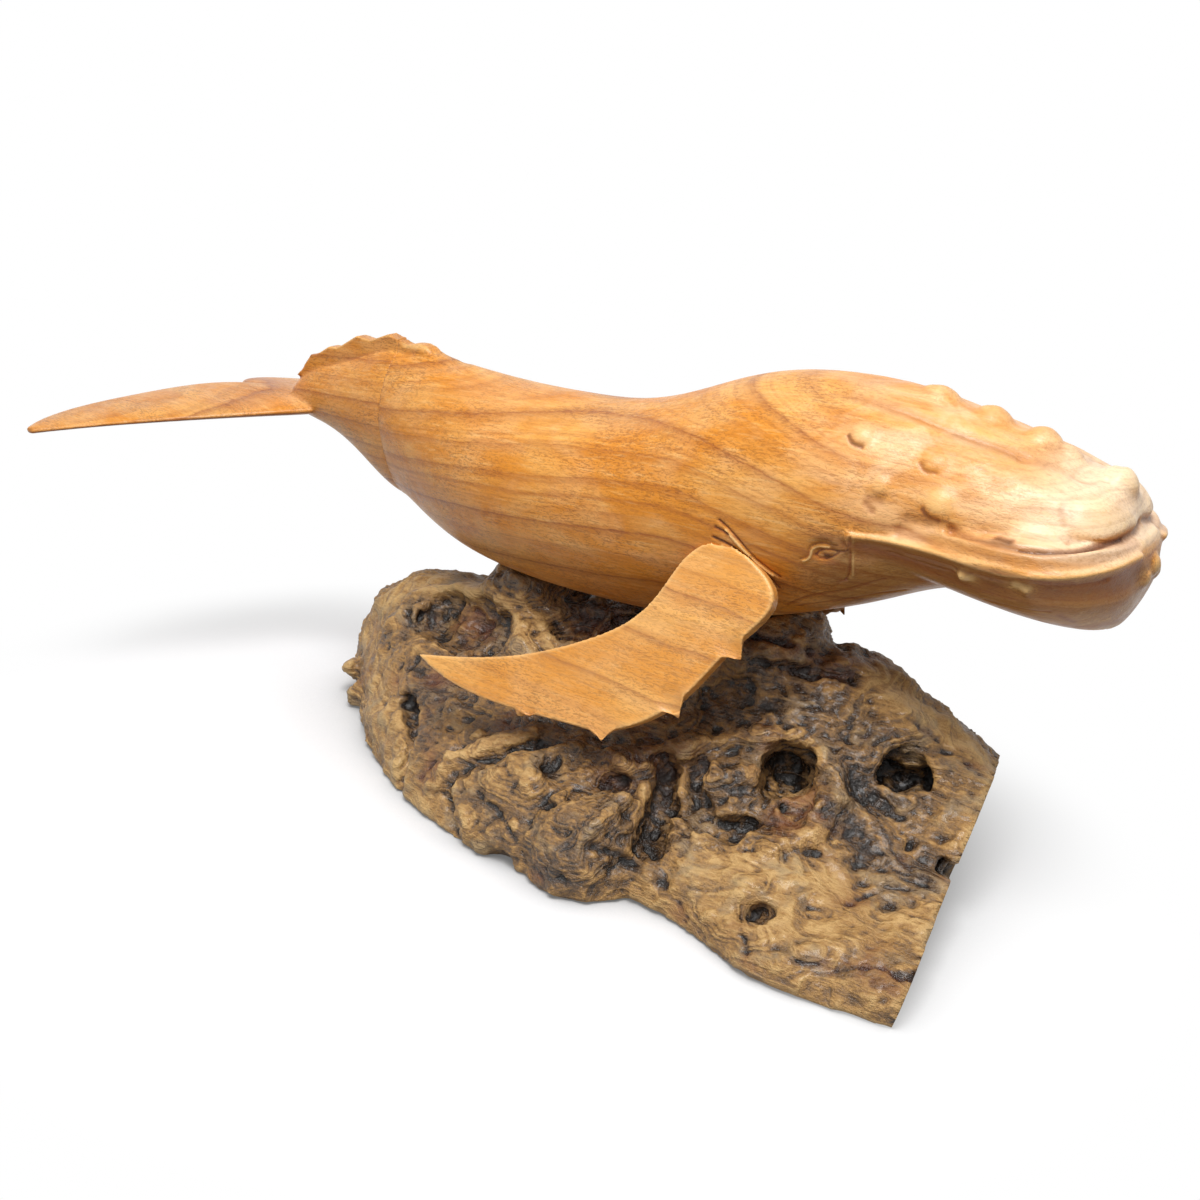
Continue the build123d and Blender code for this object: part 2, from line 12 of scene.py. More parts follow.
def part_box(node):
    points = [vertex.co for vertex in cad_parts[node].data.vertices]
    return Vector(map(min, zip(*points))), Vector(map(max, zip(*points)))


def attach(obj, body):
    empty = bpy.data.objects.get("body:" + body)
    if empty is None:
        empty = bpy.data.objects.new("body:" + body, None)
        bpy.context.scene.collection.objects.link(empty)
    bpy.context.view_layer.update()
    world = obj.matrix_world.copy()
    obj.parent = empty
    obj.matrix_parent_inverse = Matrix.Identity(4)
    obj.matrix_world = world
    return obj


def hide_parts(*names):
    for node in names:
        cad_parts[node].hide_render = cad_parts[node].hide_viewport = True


bl_info = {
    "name": "Carved Whale on Driftwood",
    "version": (1, 0, 0),
    "blender": (4, 5, 0),
    "location": "View3D > Sidebar > Whale",
    "description": "Carves, grains and varnishes a wooden whale and the root that it stands on",
    "category": "Object",
}

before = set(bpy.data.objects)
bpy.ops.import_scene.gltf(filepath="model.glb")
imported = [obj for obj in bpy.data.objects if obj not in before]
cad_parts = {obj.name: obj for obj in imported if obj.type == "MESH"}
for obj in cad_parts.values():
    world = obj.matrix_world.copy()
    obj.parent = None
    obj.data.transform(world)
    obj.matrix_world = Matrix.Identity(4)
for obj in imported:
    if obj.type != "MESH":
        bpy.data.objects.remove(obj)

# Carving is worked out in millimetres and goes back into metres on the mesh. Corners of a CAD mesh that lie
# nearer to each other than SAME_PLACE, in metres, are one
MM = 0.001
SAME_PLACE = 2e-6

# Steps of each smoothing round: inwards and then outwards, as shares of the way to the neighbours' mean
SMOOTHING = (0.55, -0.58)

# Wearing down goes on to this many times its reach, by this share of the way to the neighbours' mean
WEAR_REACH = 1.8
WEAR_STEP = 0.8

# An edge is split from this many times the wanted size on
LONG_EDGE = 1.35

# The photograph's frame, the camera that took it, and a pixel's width at one unit of distance
PHOTO_SIZE = 1200
CAMERA_PLACE = (0.26512, -0.36491, 0.22017)
CAMERA_TARGET = (0.0, 0.0, 0.056)
LENS = 42.0
SENSOR = 36.0
PIXEL = SENSOR / LENS / PHOTO_SIZE

# Each lamp's place, aim and width, in metres
KEY_LAMP = ((0.20, -0.36, 0.88), (0.03, 0, 0.06), 0.45)
FILL_LAMP = ((0.05, -0.9, 0.45), (0, 0, 0.06), 0.6)

# The floor lies a little under the object, has painted contact shade near it and fades to white over an oval,
# in metres
FLOOR_DROP = 0.0003
FADE_SHIFT, FADE_SCALE = (0.03, 0.05, 0.0), (0.9, 1.2, 1.0)
FADE_START, FADE_END = 0.12, 0.22
CONTACT_REACH = 0.05
WHITE = (1, 1, 1)
FLOOR_TINT = (0.86, 0.86, 0.87)
FLOOR_BOUNCE = (0.36, 0.36, 0.36)
FLOOR_GLOW = 0.14

# From here on lengths are in mm, and a pair in brackets is where a slope is nothing and where it is one.
# How far from the tail's glued joint its two sides are drawn together, by what share of that they overlap,
# and where the painted highlight on ridges and painted shade in grooves begin away from it
JOINT_REACH = 1.3
JOINT_STRETCH = 0.45
EDGE_SHADING_FROM_JOINT = (1.5, 4.5)

# Length of the tail stock behind the joint, and of its slope into the flukes
STOCK_LENGTH = 40.0
STOCK_SLOPE = 8.0

# Swelling of the snout's sides between the lip and the crown: how far, at what height, and its two ends
SNOUT_LIFT = 2.0
SNOUT_HEIGHT, SNOUT_SPREAD = 108.0, 6.0
SNOUT_REAR, SNOUT_FRONT = (118, 148), (184, 154)

# Where the head's upper faces get painted light, the snout a painted highlight and the jaw painted shade,
# along the whale and in height
LIT_HEAD_ALONG = (78, 123)
SNOUT_HIGHLIGHT_ALONG, SNOUT_HIGHLIGHT_HIGH = (142, 168), (106, 114)
SHADE_ALONG, SHADE_LOW = (84, 104), (110, 105)

# Tone of the bumps on the head's ridge and of the flippers, and how far the tail's growth lines step up
KEEL_TONE = 0.15
FLIPPER_TONE = 0.28
TAIL_STEP = 1.1

# How near a cusp's root the flipper's edge is drawn out with it
CUSP_WIDTH = 5.0

# How near the root's sawn end its surface is cut flat, how deep the saw's kerf is in it, and how far each of
# the kerf's walls is set back
SAWN_REACH = 1.4
KERF_DEPTH = 11.0
KERF_WIDENING = 0.9

# Where the root stays as it is round the kerf, behind the end and across it, and where the walls are moved
KERF_MOUTH = 0.5
KERF_STILL_DEEP, KERF_STILL_WIDE = (KERF_DEPTH + 4, KERF_DEPTH + 1), (2.6, 5.6)
KERF_MOVED_DEEP, KERF_MOVED_WIDE = (KERF_DEPTH + 1.5, KERF_DEPTH + 0.5), (3.5, 2.5)

# Cosines that tell the CAD root's faces: those of the sawn end by the whale's length, those of the kerf's
# walls by the end, and faces that are level with each other
END_FACING = 0.88
WALL_FACING = 0.02
LEVEL = 0.9999

# Where the root is left as it is: at its foot, and round its screws up to their top
FOOT_ZONE = (0.2, 2.2)
SCREW_ZONE = (6, 9)
SCREW_TOP = 40

# How far the root's surface looks for the whale, in metres
FAR_ENOUGH = 0.006

# The least depth and width of the features that are cut on the root's coarse mesh already
BOLD_DEPTH, BOLD_WIDTH = 1.5, 1.4

# Where a crisp feature's wall stands, in shares of its width
CRISP_WALL = (1.25, 0.7)

# Swell of the root, as height, size and seed, and the run of its fibres, as height, stretch, size and seed
ROOT_SWELL = ((1.3, 22, 1), (1.7, 9, 2))
ROOT_FIGURE = ((7, 0.45, 24, 7), (2.0, 0.5, 8, 8))

# Size of its ragged crust's ridges and spacing of its fibres
RAGGED_SIZE = 5.5
FIBRE_SPACING = 2.6

# Features carved in the whale's right side, and mirrored on its left.
# Width in pixels, depth in mm, tone, and each point's place across and down the photograph in pixels
WHALE_FEATURES = dict(
    crest_end=(9, -1.0, 0.0, 422, 352, 448, 362),
    head_crease=(8, 0.8, -0.35, 838, 392, 862, 398, 880, 403, 916, 416, 957, 433, 994, 445, 1025, 457),
    head_crease_end=(9, 0.6, -0.3, 1025, 457, 1054, 464, 1080, 478),
    head_crease_line=(2.4, 0.25, -0.4, 846, 394, 880, 403, 916, 416, 957, 433, 994, 445, 1020, 456),
    # Knobs: their light tone is painted highlight on their tops, and the dark tone at their feet is painted
    # shade
    knob_one=(12, -1.3, 0.5, 862, 434),
    knob_one_foot=(2.6, 0.3, -0.7, 849, 436, 852, 444, 862, 447),
    knob_two=(12, -0.9, 0.25, 935, 461),
    knob_two_foot=(2.6, 0.3, -0.5, 921, 464, 925, 472, 936, 473),
    knob_three=(16, -1.8, 0.6, 938, 505),
    knob_three_foot=(3.0, 0.4, -0.8, 923, 510, 928, 517, 938, 521),
    knob_four=(9, -1.0, 0.4, 881, 487),
    knob_five=(26, -2.4, 0.4, 1100, 521),
    knob_five_foot=(4, 0.15, -0.3, 1064, 505, 1060, 514, 1064, 525),
    red_mark=(6, 0.2, -0.25, 992, 486, 1010, 484),
    snout_ring=(3.5, 0.3, -0.35, 1076, 470, 1090, 464, 1108, 468, 1118, 476, 1108, 484, 1088, 484, 1076, 476),
    snout_dimple=(4, 0.2, -0.35, 1092, 474, 1098, 476),
    lip_crease=(5, 1.1, -0.6, 950, 530, 985, 541, 1021, 550, 1060, 553, 1099, 548, 1130, 536, 1142, 522),
    lip_crease_line=(2, 0.4, -0.9, 1020, 549, 1060, 552, 1099, 547, 1122, 539),
    lip_crease_start=(6, 0.6, -0.35, 905, 520, 930, 524, 950, 530),
    lip_band=(7, 0.7, -0.4, 900, 532, 935, 541, 976, 553, 1021, 563, 1066, 566, 1105, 560, 1138, 544),
    # The lip's raised edge, with painted highlight
    lip_edge=(3.6, -1.1, 0.6, 851, 537, 880, 540, 909, 546, 940, 554, 976, 566, 1021, 576, 1066, 578,
              1110, 570, 1140, 556),
    # The undercut below the lip, with painted shade
    under_lip=(14, 1.3, -0.5, 856, 550, 900, 560, 940, 572, 980, 586, 1030, 594, 1080, 594, 1120, 588,
               1138, 578),
    under_lip_line=(3, 0.5, -0.35, 905, 556, 940, 565, 976, 577, 1021, 586, 1066, 588, 1110, 580),
    jaw_knob_one=(6, -0.1, 0.8, 957, 577, 968, 582),
    jaw_knob_two=(6, -0.1, 0.7, 1014, 588, 1027, 592),
    chin_knob=(8, -1.2, 0.4, 1146, 579),
    mouth_corner=(1.5, 0.5, -0.35, 850, 537, 850, 547, 850, 561, 850, 572, 846, 580),
    mouth_corner_rim=(1.5, -0.4, 0.35, 853, 542, 853, 560, 853, 575),
    mouth_corner_foot=(1.6, 0.3, -0.45, 846, 580, 838, 582),
    knot_on_lip=(4, 0.3, -0.9, 998, 538, 1010, 541),
    flake=(5, 0.2, -0.4, 869, 498, 880, 502),
    flake_foot=(3.5, 0.3, -0.5, 866, 504, 872, 511),
    long_wrinkle=(1.3, 0.7, -0.8, 719, 520, 726, 526, 738, 539, 750, 554, 764, 566, 780, 577),
    long_wrinkle_edge=(1.5, -0.5, 0.8, 726, 530, 739, 545, 755, 561, 773, 575),
    short_wrinkle=(1.3, 0.6, -0.8, 715, 527, 721, 530, 728, 534),
    low_wrinkle=(1.4, 0.7, -0.9, 713, 537, 724, 542, 733, 547, 741, 554, 749, 558),
    low_wrinkle_end=(1.4, 0.6, -0.7, 749, 558, 760, 569, 769, 577, 779, 588),
    low_wrinkle_edge=(1.5, -0.4, 0.7, 722, 546, 735, 553, 752, 566, 764, 580),
    eyelid_top=(1.0, 0.45, -0.7, 816, 555, 819, 551, 824, 549, 832, 550, 840, 552, 847, 553),
    eyelid_foot=(0.9, 0.4, -0.6, 816, 555, 820, 558, 826, 559, 832, 557, 839, 553),
    pupil=(2.2, -0.2, -0.9, 826, 555, 829, 555),
    brow=(1.0, 0.3, -0.4, 800, 559, 806, 558, 809, 554, 808, 550, 812, 545, 822, 543, 830, 545, 847, 548),
    brow_edge=(1.2, -0.35, 0.6, 803, 561, 809, 559, 811, 553, 812, 549, 818, 546, 829, 547),
    throat_fold=(2.2, 0.35, -0.5, 787, 605, 803, 598, 820, 594, 843, 591, 863, 585, 885, 579),
    throat_fold_low=(2.2, 0.3, -0.5, 797, 606, 820, 603, 849, 599, 880, 593, 905, 590),
    jaw_streak=(1.6, 0.2, -0.5, 889, 555, 910, 563, 935, 571, 950, 574),
    jaw_streak_low=(1.6, 0.2, -0.5, 985, 600, 1010, 606, 1050, 612),
    jaw_stain=(4, 0.0, -0.5, 1060, 616, 1074, 622),
)

# Bumps along the ridge of the head: place along the whale, height and half width
KEEL_BUMPS = (
    (108.0, 1.0, 5.0), (116.5, 3.3, 5.0), (132.0, 3.6, 5.0), (146.3, 3.8, 4.8), (154.0, 2.2, 3.0),
    (167.0, 4.6, 4.8),
)

# Spots where the blank's plain round knobs are worked down before the soft ones are carved, in pixels
WORKED_SPOTS = (
    (858, 436), (932, 461), (890, 487), (941, 503), (997, 483), (1038, 529), (1101, 507), (950, 396),
    (1045, 434), (1085, 462), (1122, 480), (1130, 488), (450, 358),
)

# Places along the whale of the spots on the head's ridge that are worked down with them
WORKED_RIDGE = (102, 108, 114, 120, 126, 132, 138, 144, 150, 156, 162, 168, 173)

# Cusps on a flipper's leading edge: the pixel that each is drawn from, a pixel towards its tip, and its reach
CUSPS = (
    ((528, 702), (531, 716), 4.6), ((602, 722), (601, 742), 6.0), ((669, 698), (680, 720), 7.0),
    ((729, 644), (742, 662), 6.0),
)

# Features of the driftwood root, in the same terms as the whale's, and those that are of reddish bark
ROOT_FEATURES = dict(
    # The black tone in its holes, pits and crevice is painted shade
    basin=(30, 2.5, -0.55, 430, 622, 490, 632),
    block=(10, -1.5, -0.45, 462, 634, 498, 638),
    fold=(4.5, -2.5, -0.4, 438, 612, 500, 613),
    ring=(5, -2.5, -0.1, 413, 616, 418, 604, 428, 606),
    ring_hole=(4, 3.0, -1.0, 421, 614),
    rim=(7, -0.6, 0.4, 396, 632, 403, 602, 430, 587, 470, 590, 505, 604, 522, 628, 528, 655),
    tan_rim=(17, 0.0, 0.9, 366, 640, 385, 603, 430, 579, 480, 586),
    tan_left=(18, 0.0, 0.7, 368, 650, 378, 700, 385, 740, 400, 790),
    tan_foot=(12, 0.0, 0.8, 395, 770, 420, 810, 450, 845),
    nub=(8, -1.9, 0.5, 346, 666),
    low_nub=(8, -0.6, 0.1, 358, 702),
    top_nub=(4, -1.6, 0.6, 380, 604),
    crust_one=(13, -1.6, -0.7, 420, 688, 432, 694),
    crust_two=(9, 2.2, -0.9, 416, 664, 424, 670),
    crust_three=(9, 1.6, -0.2, 448, 684, 470, 700),
    left_dish=(14, 2.0, 0.3, 450, 722, 478, 716),
    left_crease=(5, 1.8, -0.7, 411, 696, 418, 735, 411, 760, 401, 790, 410, 815),
    branch_top=(5, 2.4, -0.5, 421, 774, 455, 747, 500, 733),
    branch=(7, -0.9, 0.15, 433, 784, 450, 762, 490, 747, 530, 734, 552, 724),
    branch_under=(6, 2.0, -0.85, 440, 797, 455, 773, 490, 760, 530, 746, 560, 738),
    blade=(8, 4.0, -0.5, 441, 800, 450, 826, 458, 842),
    blade_ridge=(5, -1.4, 0.0, 453, 790, 468, 820, 476, 850),
    middle_groove=(4, 1.5, -0.4, 478, 792, 500, 812, 515, 840),
    lump=(42, -1.5, -0.4, 570, 800, 600, 815),
    lump_rim=(6, -0.7, 0.1, 526, 792, 531, 765, 552, 747, 590, 745, 625, 760, 646, 786),
    lump_shade=(10, 2.4, -0.5, 541, 762, 556, 757),
    lump_slot=(9, 1.6, -0.6, 582, 790, 604, 781, 622, 782),
    lump_dot=(5, 3.0, -1.0, 543, 804, 549, 808),
    lump_shine=(7, -2.6, 0.1, 586, 838, 606, 818, 622, 802),
    lump_groove=(5, 2.8, -0.6, 556, 828, 598, 850, 640, 858),
    lump_foot=(6, -1.4, 0.1, 518, 828, 560, 858, 600, 880),
    lump_edge=(6, -1.4, 0.1, 647, 792, 633, 828, 640, 852, 650, 876),
    lump_pit=(6, 3.0, -0.8, 612, 868, 628, 862),
    bark=(9, -1.5, 0.4, 612, 768, 650, 762, 687, 749),
    bark_pit=(5, 2.5, -0.7, 636, 760, 664, 756),
    crevice=(10, 2.6, -0.7, 668, 774, 660, 808, 650, 836),
    crevice_foot=(14, 2.6, -0.7, 676, 812, 688, 830),
    crevice_shine=(4, -2.2, -0.3, 664, 822, 682, 826, 697, 842),
    crack=(2.2, 1.6, -0.7, 644, 828, 665, 834, 690, 849),
    # Painted shadow of the whale, over a shallow dip
    painted_whale_shadow=(16, 1.0, -0.7, 690, 700, 750, 700),
    brown_band=(14, 0.0, -0.5, 760, 690, 840, 705),
    ledge=(7, -0.6, -0.1, 688, 746, 730, 735, 790, 737, 830, 748),
    ring_groove=(8, 1.8, -0.6, 700, 766, 694, 790, 708, 816, 740, 830, 768, 824),
    knuckle_one=(9, -1.6, -0.4, 708, 782, 724, 776),
    knuckle_two=(7, -1.4, -0.3, 740, 770, 752, 782),
    knuckle_three=(6, -2.4, -0.5, 735, 805, 755, 800),
    pocket=(22, 0.8, -0.55, 716, 786, 750, 800, 782, 812),
    middle_shade=(24, 0.0, -0.5, 716, 712, 790, 722),
    round_hole=(17, 3.2, -0.25, 786, 766, 796, 770),
    round_ledge=(13, 2.4, 0.35, 796, 806, 806, 800),
    small_hole=(4.5, 5.0, -1.0, 780, 804, 786, 806),
    round_rim=(8, -0.8, 0.25, 772, 748, 800, 741, 828, 754, 843, 785, 836, 820, 806, 842, 765, 850),
    oval_hole=(11, 4.0, -0.6, 884, 767, 922, 780),
    oval_rim=(6, -1.2, 0.1, 862, 767, 890, 756, 926, 764, 946, 786),
    oval_surround=(20, 0.6, -0.6, 856, 782, 900, 792, 925, 800),
    oval_shade=(14, 1.8, -0.95, 858, 785, 885, 805),
    low_shade=(15, 1.4, -0.8, 838, 818, 862, 830),
    trough=(8, 1.4, -0.1, 834, 738, 900, 739, 977, 762),
    tan_top=(21, 0.0, 0.9, 880, 682, 930, 720, 985, 762),
    top_groove=(4, 0.9, -0.15, 900, 715, 940, 740, 985, 775),
    end_brown=(14, 0.0, 0.3, 940, 800, 960, 830),
    kerf_hole=(7, 6.5, -1.0, 914, 845, 920, 855),
    kerf_shade=(13, 0.8, -0.7, 866, 848, 900, 862, 925, 876),
    plank_line=(4, 1.2, -0.3, 690, 846, 740, 850, 790, 851, 850, 858, 926, 886),
    # Painted highlight on the plank
    plank_highlight=(14, 0.0, 1.0, 705, 860, 760, 868, 830, 884),
    plank_middle=(30, 0.0, 0.6, 720, 900, 800, 930, 880, 930),
    plank_foot=(20, 0.0, 0.3, 720, 940, 790, 985, 870, 1000),
    knot_hole=(5.5, 3.0, -0.7, 752, 911, 762, 914),
    knot_fold=(4, 1.2, -0.25, 741, 926, 746, 955, 736, 975),
    arc=(4, 1.2, -0.3, 848, 906, 868, 891, 905, 885, 930, 900, 938, 925),
    patch=(6, 1.0, -0.1, 812, 905, 830, 912),
    eyelet=(4, -1.2, 0.3, 826, 888),
    low_crack=(3, 1.2, -0.45, 798, 960, 840, 968, 880, 965, 905, 976),
    pin_one=(3, 1.6, -0.6, 862, 964),
    pin_two=(2.6, 1.4, -0.6, 799, 944),
    pin_three=(3.5, 1.4, -0.5, 892, 972, 900, 978),
    # The slot over the wedge and the recess under it hold painted shade, and the slot is reddish too
    wedge_slot=(4, 3.5, -1.0, 743, 631, 780, 642, 812, 652),
    wedge=(9, -2.2, -0.45, 785, 654, 842, 669),
    wedge_under=(6, 4.0, -1.0, 752, 665, 800, 671, 850, 676),
    chip=(3.5, -2.2, 1.6, 797, 641, 803, 643),
    pale_speck=(2.4, -1.2, 1.6, 836, 841),
    rear_lump=(10, -2.0, -0.6, 512, 575, 540, 590),
    rear_wall=(6, -2.0, 0.6, 520, 600, 545, 632, 552, 650),
    # The recess under the belly and the wood below it hold painted shade, and the lower one is reddish too
    under_belly=(14, 3.0, -1.0, 580, 600, 630, 615),
    under_brown=(12, 1.5, -0.7, 590, 630, 640, 630),
)
REDDISH = ("bark", "wedge", "wedge_slot", "under_brown")

# Growth lines of the wood: height over the floor at the whale's middle, and how bold each one is
BODY_LINES = (
    (40, 0.4), (52, 0.5), (59, 0.4), (66, 0.6), (73, 0.3), (79, 1.0), (88, 0.3), (96, 0.95), (101, 0.35),
    (105, 0.55), (110, 0.7), (118, 0.6), (126, 0.9), (133, 0.35), (139.5, 0.8), (147, 0.45), (153, 0.35),
    (160, 0.5), (170, 0.5),
)
FLIPPER_LINES = (
    (30, 0.4), (38, 0.3), (45, 0.35), (54.7, 0.75), (61, 0.25), (65, 0.3), (70, 0.95), (77, 0.3), (83.5, 1.0),
    (90, 0.4), (97, 0.4), (110, 0.4),
)

# How the growth lines climb and fall along the whale: place along it, and height
LINE_ARCH = (
    (-205, -20), (-140, -13.5), (-100, -11), (-61, -6.5), (-21, -2), (0, 0), (30, 2.2), (44, 2.6), (56, 2),
    (66, 0), (83, -4.5), (96, -8), (110, -11), (140, -15), (185, -19),
)


def linear(red, green, blue):
    """A colour given as on a screen, from 0 to 255, as Blender's shaders want it."""
    parts = (red / 255, green / 255, blue / 255)
    return tuple(c / 12.92 if c <= 0.04 else ((c + 0.055) / 1.055) ** 2.4 for c in parts)


def colour(name, description, *screen):
    return FloatVectorProperty(
        name=name, description=description, default=linear(*screen), subtype="COLOR", size=3, min=0, max=1
    )


def length(name, description, default):
    return FloatProperty(
        name=name, description=description, default=default, subtype="DISTANCE", unit="LENGTH", min=0
    )


def share(name, description, default):
    return FloatProperty(name=name, description=description, default=default, subtype="FACTOR", min=0, max=1)


def power(name, description, default):
    return FloatProperty(name=name, description=description, default=default, unit="POWER", min=0)


class WhaleWood(PropertyGroup):
    """Light wood of the whale, under satin varnish."""

    honey: colour("Honey", "Colour of the wood between its growth lines", 234, 168, 84)
    amber: colour("Amber", "Deeper colour that lies in patches", 220, 140, 40)
    # Blush also carries the painted light on the head's upper faces
    blush: colour("Blush", "Paler, pinker colour of the head and of patches", 246, 196, 140)
    line: colour("Growth line", "Colour of the growth lines", 138, 66, 24)
    pore: colour("Pore", "Colour in the pores", 112, 58, 18)
    # Groove is laid where a feature's tone is lowest: carved lines, the pupil, and the painted shade at the
    # knobs' feet and under the lip
    groove: colour("Groove", "Colour that gathers in carved grooves", 74, 38, 14)
    # Worn also carries the painted highlight on ridges, on the knobs' tops and on the lip's edge
    worn: colour("Worn edge", "Colour of edges and raised cuts", 250, 208, 140)
    # Painted shade, on the faces that turn down under the jaw and the throat
    painted_shade: colour("Dusk", "Duller brown under the jaw and the throat", 126, 92, 58)
    # Painted highlight on the snout
    snout_highlight: colour("Cream", "Palest colour, on the snout", 252, 226, 192)
    body_face: length("Body face", "Size of the body's mesh faces", 0.00085)
    blade_face: length("Blade face", "Size of the mesh faces of the flippers and the flukes", 0.0006)
    fine_face: length("Fine face", "Size of the mesh faces round the carved features", 0.00042)
    rough: share("Roughness", "Roughness of the satin varnish", 0.38)


class RootWood(PropertyGroup):
    """Driftwood root, partly under thick varnish."""

    # Black and dark lie in the hollows: the varnish there, and the painted shade
    black: colour("Black", "Colour of its deepest hollows", 20, 14, 10)
    dark: colour("Dark", "Colour of its varnished hollows", 62, 43, 26)
    brown: colour("Brown", "Colour of its flanks", 124, 92, 54)
    tan: colour("Tan", "Colour of its smooth outer wood", 168, 127, 73)
    # Pale is also where painted highlight on ridges and swells lifts the tone
    pale: colour("Pale", "Colour of its worn edges", 206, 168, 110)
    grey: colour("Grey", "Colour of its weathered patches", 138, 124, 100)
    red: colour("Red", "Colour of its reddish bark", 112, 58, 30)
    first_face: length("First face", "Size of the mesh faces while its forms are cut", 0.0013)
    face: length("Face", "Size of its mesh faces", 0.00092)
    ragged: length("Ragged", "Depth of its ragged zones", 0.0021)
    fibre: length("Fibre", "Depth of the grooves between its fibres", 0.00042)


class Hardware(PropertyGroup):
    """Hidden dowel, pins and screws."""

    steel: colour("Steel", "Colour of the screws", 150, 148, 144)
    dowel: colour("Dowel", "Colour of the dowel and the pins", 206, 172, 120)


class Studio(PropertyGroup):
    """Floor and lamps."""

    floor: length("Floor", "Width of the floor", 12.0)
    key_power: power("Key lamp", "Power of the main lamp", 10.2)
    fill_power: power("Fill lamp", "Power of the second lamp", 0.45)
    sky: FloatProperty(name="Sky", description="Strength of the light from all round", default=0.20, min=0)


def camera_axes():
    """Right, up and forward directions of the photograph's camera."""
    forward = (Vector(CAMERA_TARGET) - Vector(CAMERA_PLACE)).normalized()
    right = forward.cross(Vector((0, 0, 1))).normalized()
    return right, right.cross(forward), forward


def on_surface(tree, pixel):
    """Where the line of sight through a pixel of the photograph meets a surface, in mm, or None."""
    right, up, forward = camera_axes()
    across = (pixel[0] - PHOTO_SIZE / 2) * PIXEL
    rise = (PHOTO_SIZE / 2 - pixel[1]) * PIXEL
    sight = (forward + across * right + rise * up).normalized()
    place = tree.ray_cast(Vector(CAMERA_PLACE), sight)[0]
    return None if place is None else np.array(place) / MM


def under_sky(tree, along):
    """The highest point of a surface over the whale's middle plane, at a place along the whale, in mm."""
    return np.array(tree.ray_cast(Vector((along * MM, 0, 1)), Vector((0, 0, -1)))[0]) / MM


def tree_of(mesh):
    """Search tree of a mesh's surface."""
    return BVHTree.FromPolygons([v.co for v in mesh.vertices], [p.vertices for p in mesh.polygons])


def cad_tree(node):
    """Search tree of a CAD node's surface."""
    return tree_of(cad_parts[node].data)


def placed(features, tree):
    """Features with their points on the surface and their widths in mm."""
    found = []
    for name, (width, depth, tone, *pixels) in features.items():
        points = [on_surface(tree, pixel) for pixel in zip(pixels[::2], pixels[1::2])]
        points = [point for point in points if point is not None]
        if points:
            sight = np.linalg.norm(points[0] - np.array(CAMERA_PLACE) / MM)
            found.append((name, width * sight * PIXEL, depth, tone, rounded(points)))
    return found


def rounded(line):
    """The line with its corners cut twice. A single point stays as it is."""
    for _ in range(2 if len(line) > 1 else 0):
        cut = [line[0]]
        for start, end in zip(line, line[1:]):
            cut += [0.75 * start + 0.25 * end, 0.25 * start + 0.75 * end]
        line = cut + [line[-1]]
    return line


def slope(values, start, end):
    """Nothing at the start, one at the end and an even slope between them."""
    return np.clip((values - start) / (end - start), 0, 1)


def even_mesh(node, face):
    """A copy of a CAD node's mesh with even faces."""
    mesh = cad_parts[node].data.copy()
    bm = bmesh.new()
    bm.from_mesh(mesh)
    bmesh.ops.remove_doubles(bm, verts=bm.verts, dist=SAME_PLACE)
    bm.to_mesh(mesh)
    bm.free()
    return remeshed(mesh, face)


def remeshed(mesh, face):
    """The mesh with even faces of a given size, in metres."""
    blank = bpy.data.objects.new("blank", mesh)
    bpy.context.scene.collection.objects.link(blank)
    even = blank.modifiers.new("even", "REMESH")
    even.mode = "VOXEL"
    even.voxel_size = face
    bpy.context.view_layer.update()
    made = bpy.data.meshes.new_from_object(blank.evaluated_get(bpy.context.evaluated_depsgraph_get()))
    bpy.data.objects.remove(blank)
    bpy.data.meshes.remove(mesh)
    return made


def rows_of(items, field, columns, kind=np.float32):
    """A field of all vertices or edges, as rows of numbers."""
    rows = np.empty(len(items) * columns, kind)
    items.foreach_get(field, rows)
    return rows.reshape(-1, columns)


def places(mesh):
    """Vertex places in mm."""
    return rows_of(mesh.vertices, "co", 3).astype(float) / MM


def set_places(mesh, points):
    """Moves the vertices to places in mm."""
    mesh.vertices.foreach_set("co", (points * MM).astype(np.float32).ravel())
    mesh.update()


def normals(mesh):
    """Vertex normals."""
    return rows_of(mesh.vertex_normals, "vector", 3).astype(float)


def mesh_edges(mesh):
    """The two vertices of each edge."""
    return rows_of(mesh.edges, "vertices", 2, np.int32)


def mirrored_places(points):
    """Places with those of the whale's left side moved to their mirror images on the right."""
    probe = points.copy()
    probe[:, 1] = -abs(probe[:, 1])
    return probe


def neighbour_mean(values, edges):
    """Mean of each vertex's neighbours."""
    count = np.bincount(edges.ravel(), minlength=len(values)).clip(1)
    total = np.empty_like(values)
    for axis in range(values.shape[1]):
        total[:, axis] = np.bincount(edges[:, 0], values[edges[:, 1], axis], len(values))
        total[:, axis] += np.bincount(edges[:, 1], values[edges[:, 0], axis], len(values))
    return total / count[:, None]


def smooth(mesh, rounds):
    """Evens out the faceting without shrinking the form: each step inwards has one outwards after it."""
    edges = mesh_edges(mesh)
    points = places(mesh)
    for _ in range(rounds):
        for step in SMOOTHING:
            points += step * (neighbour_mean(points, edges) - points)
    set_places(mesh, points)


def curvature(mesh, spread):
    """How far each vertex stands out from its surroundings, in mm, with grooves below zero."""
    edges = mesh_edges(mesh)
    points = places(mesh)
    level = points
    for _ in range(spread):
        level = neighbour_mean(level, edges)
    return np.einsum("ij,ij->i", points - level, normals(mesh))


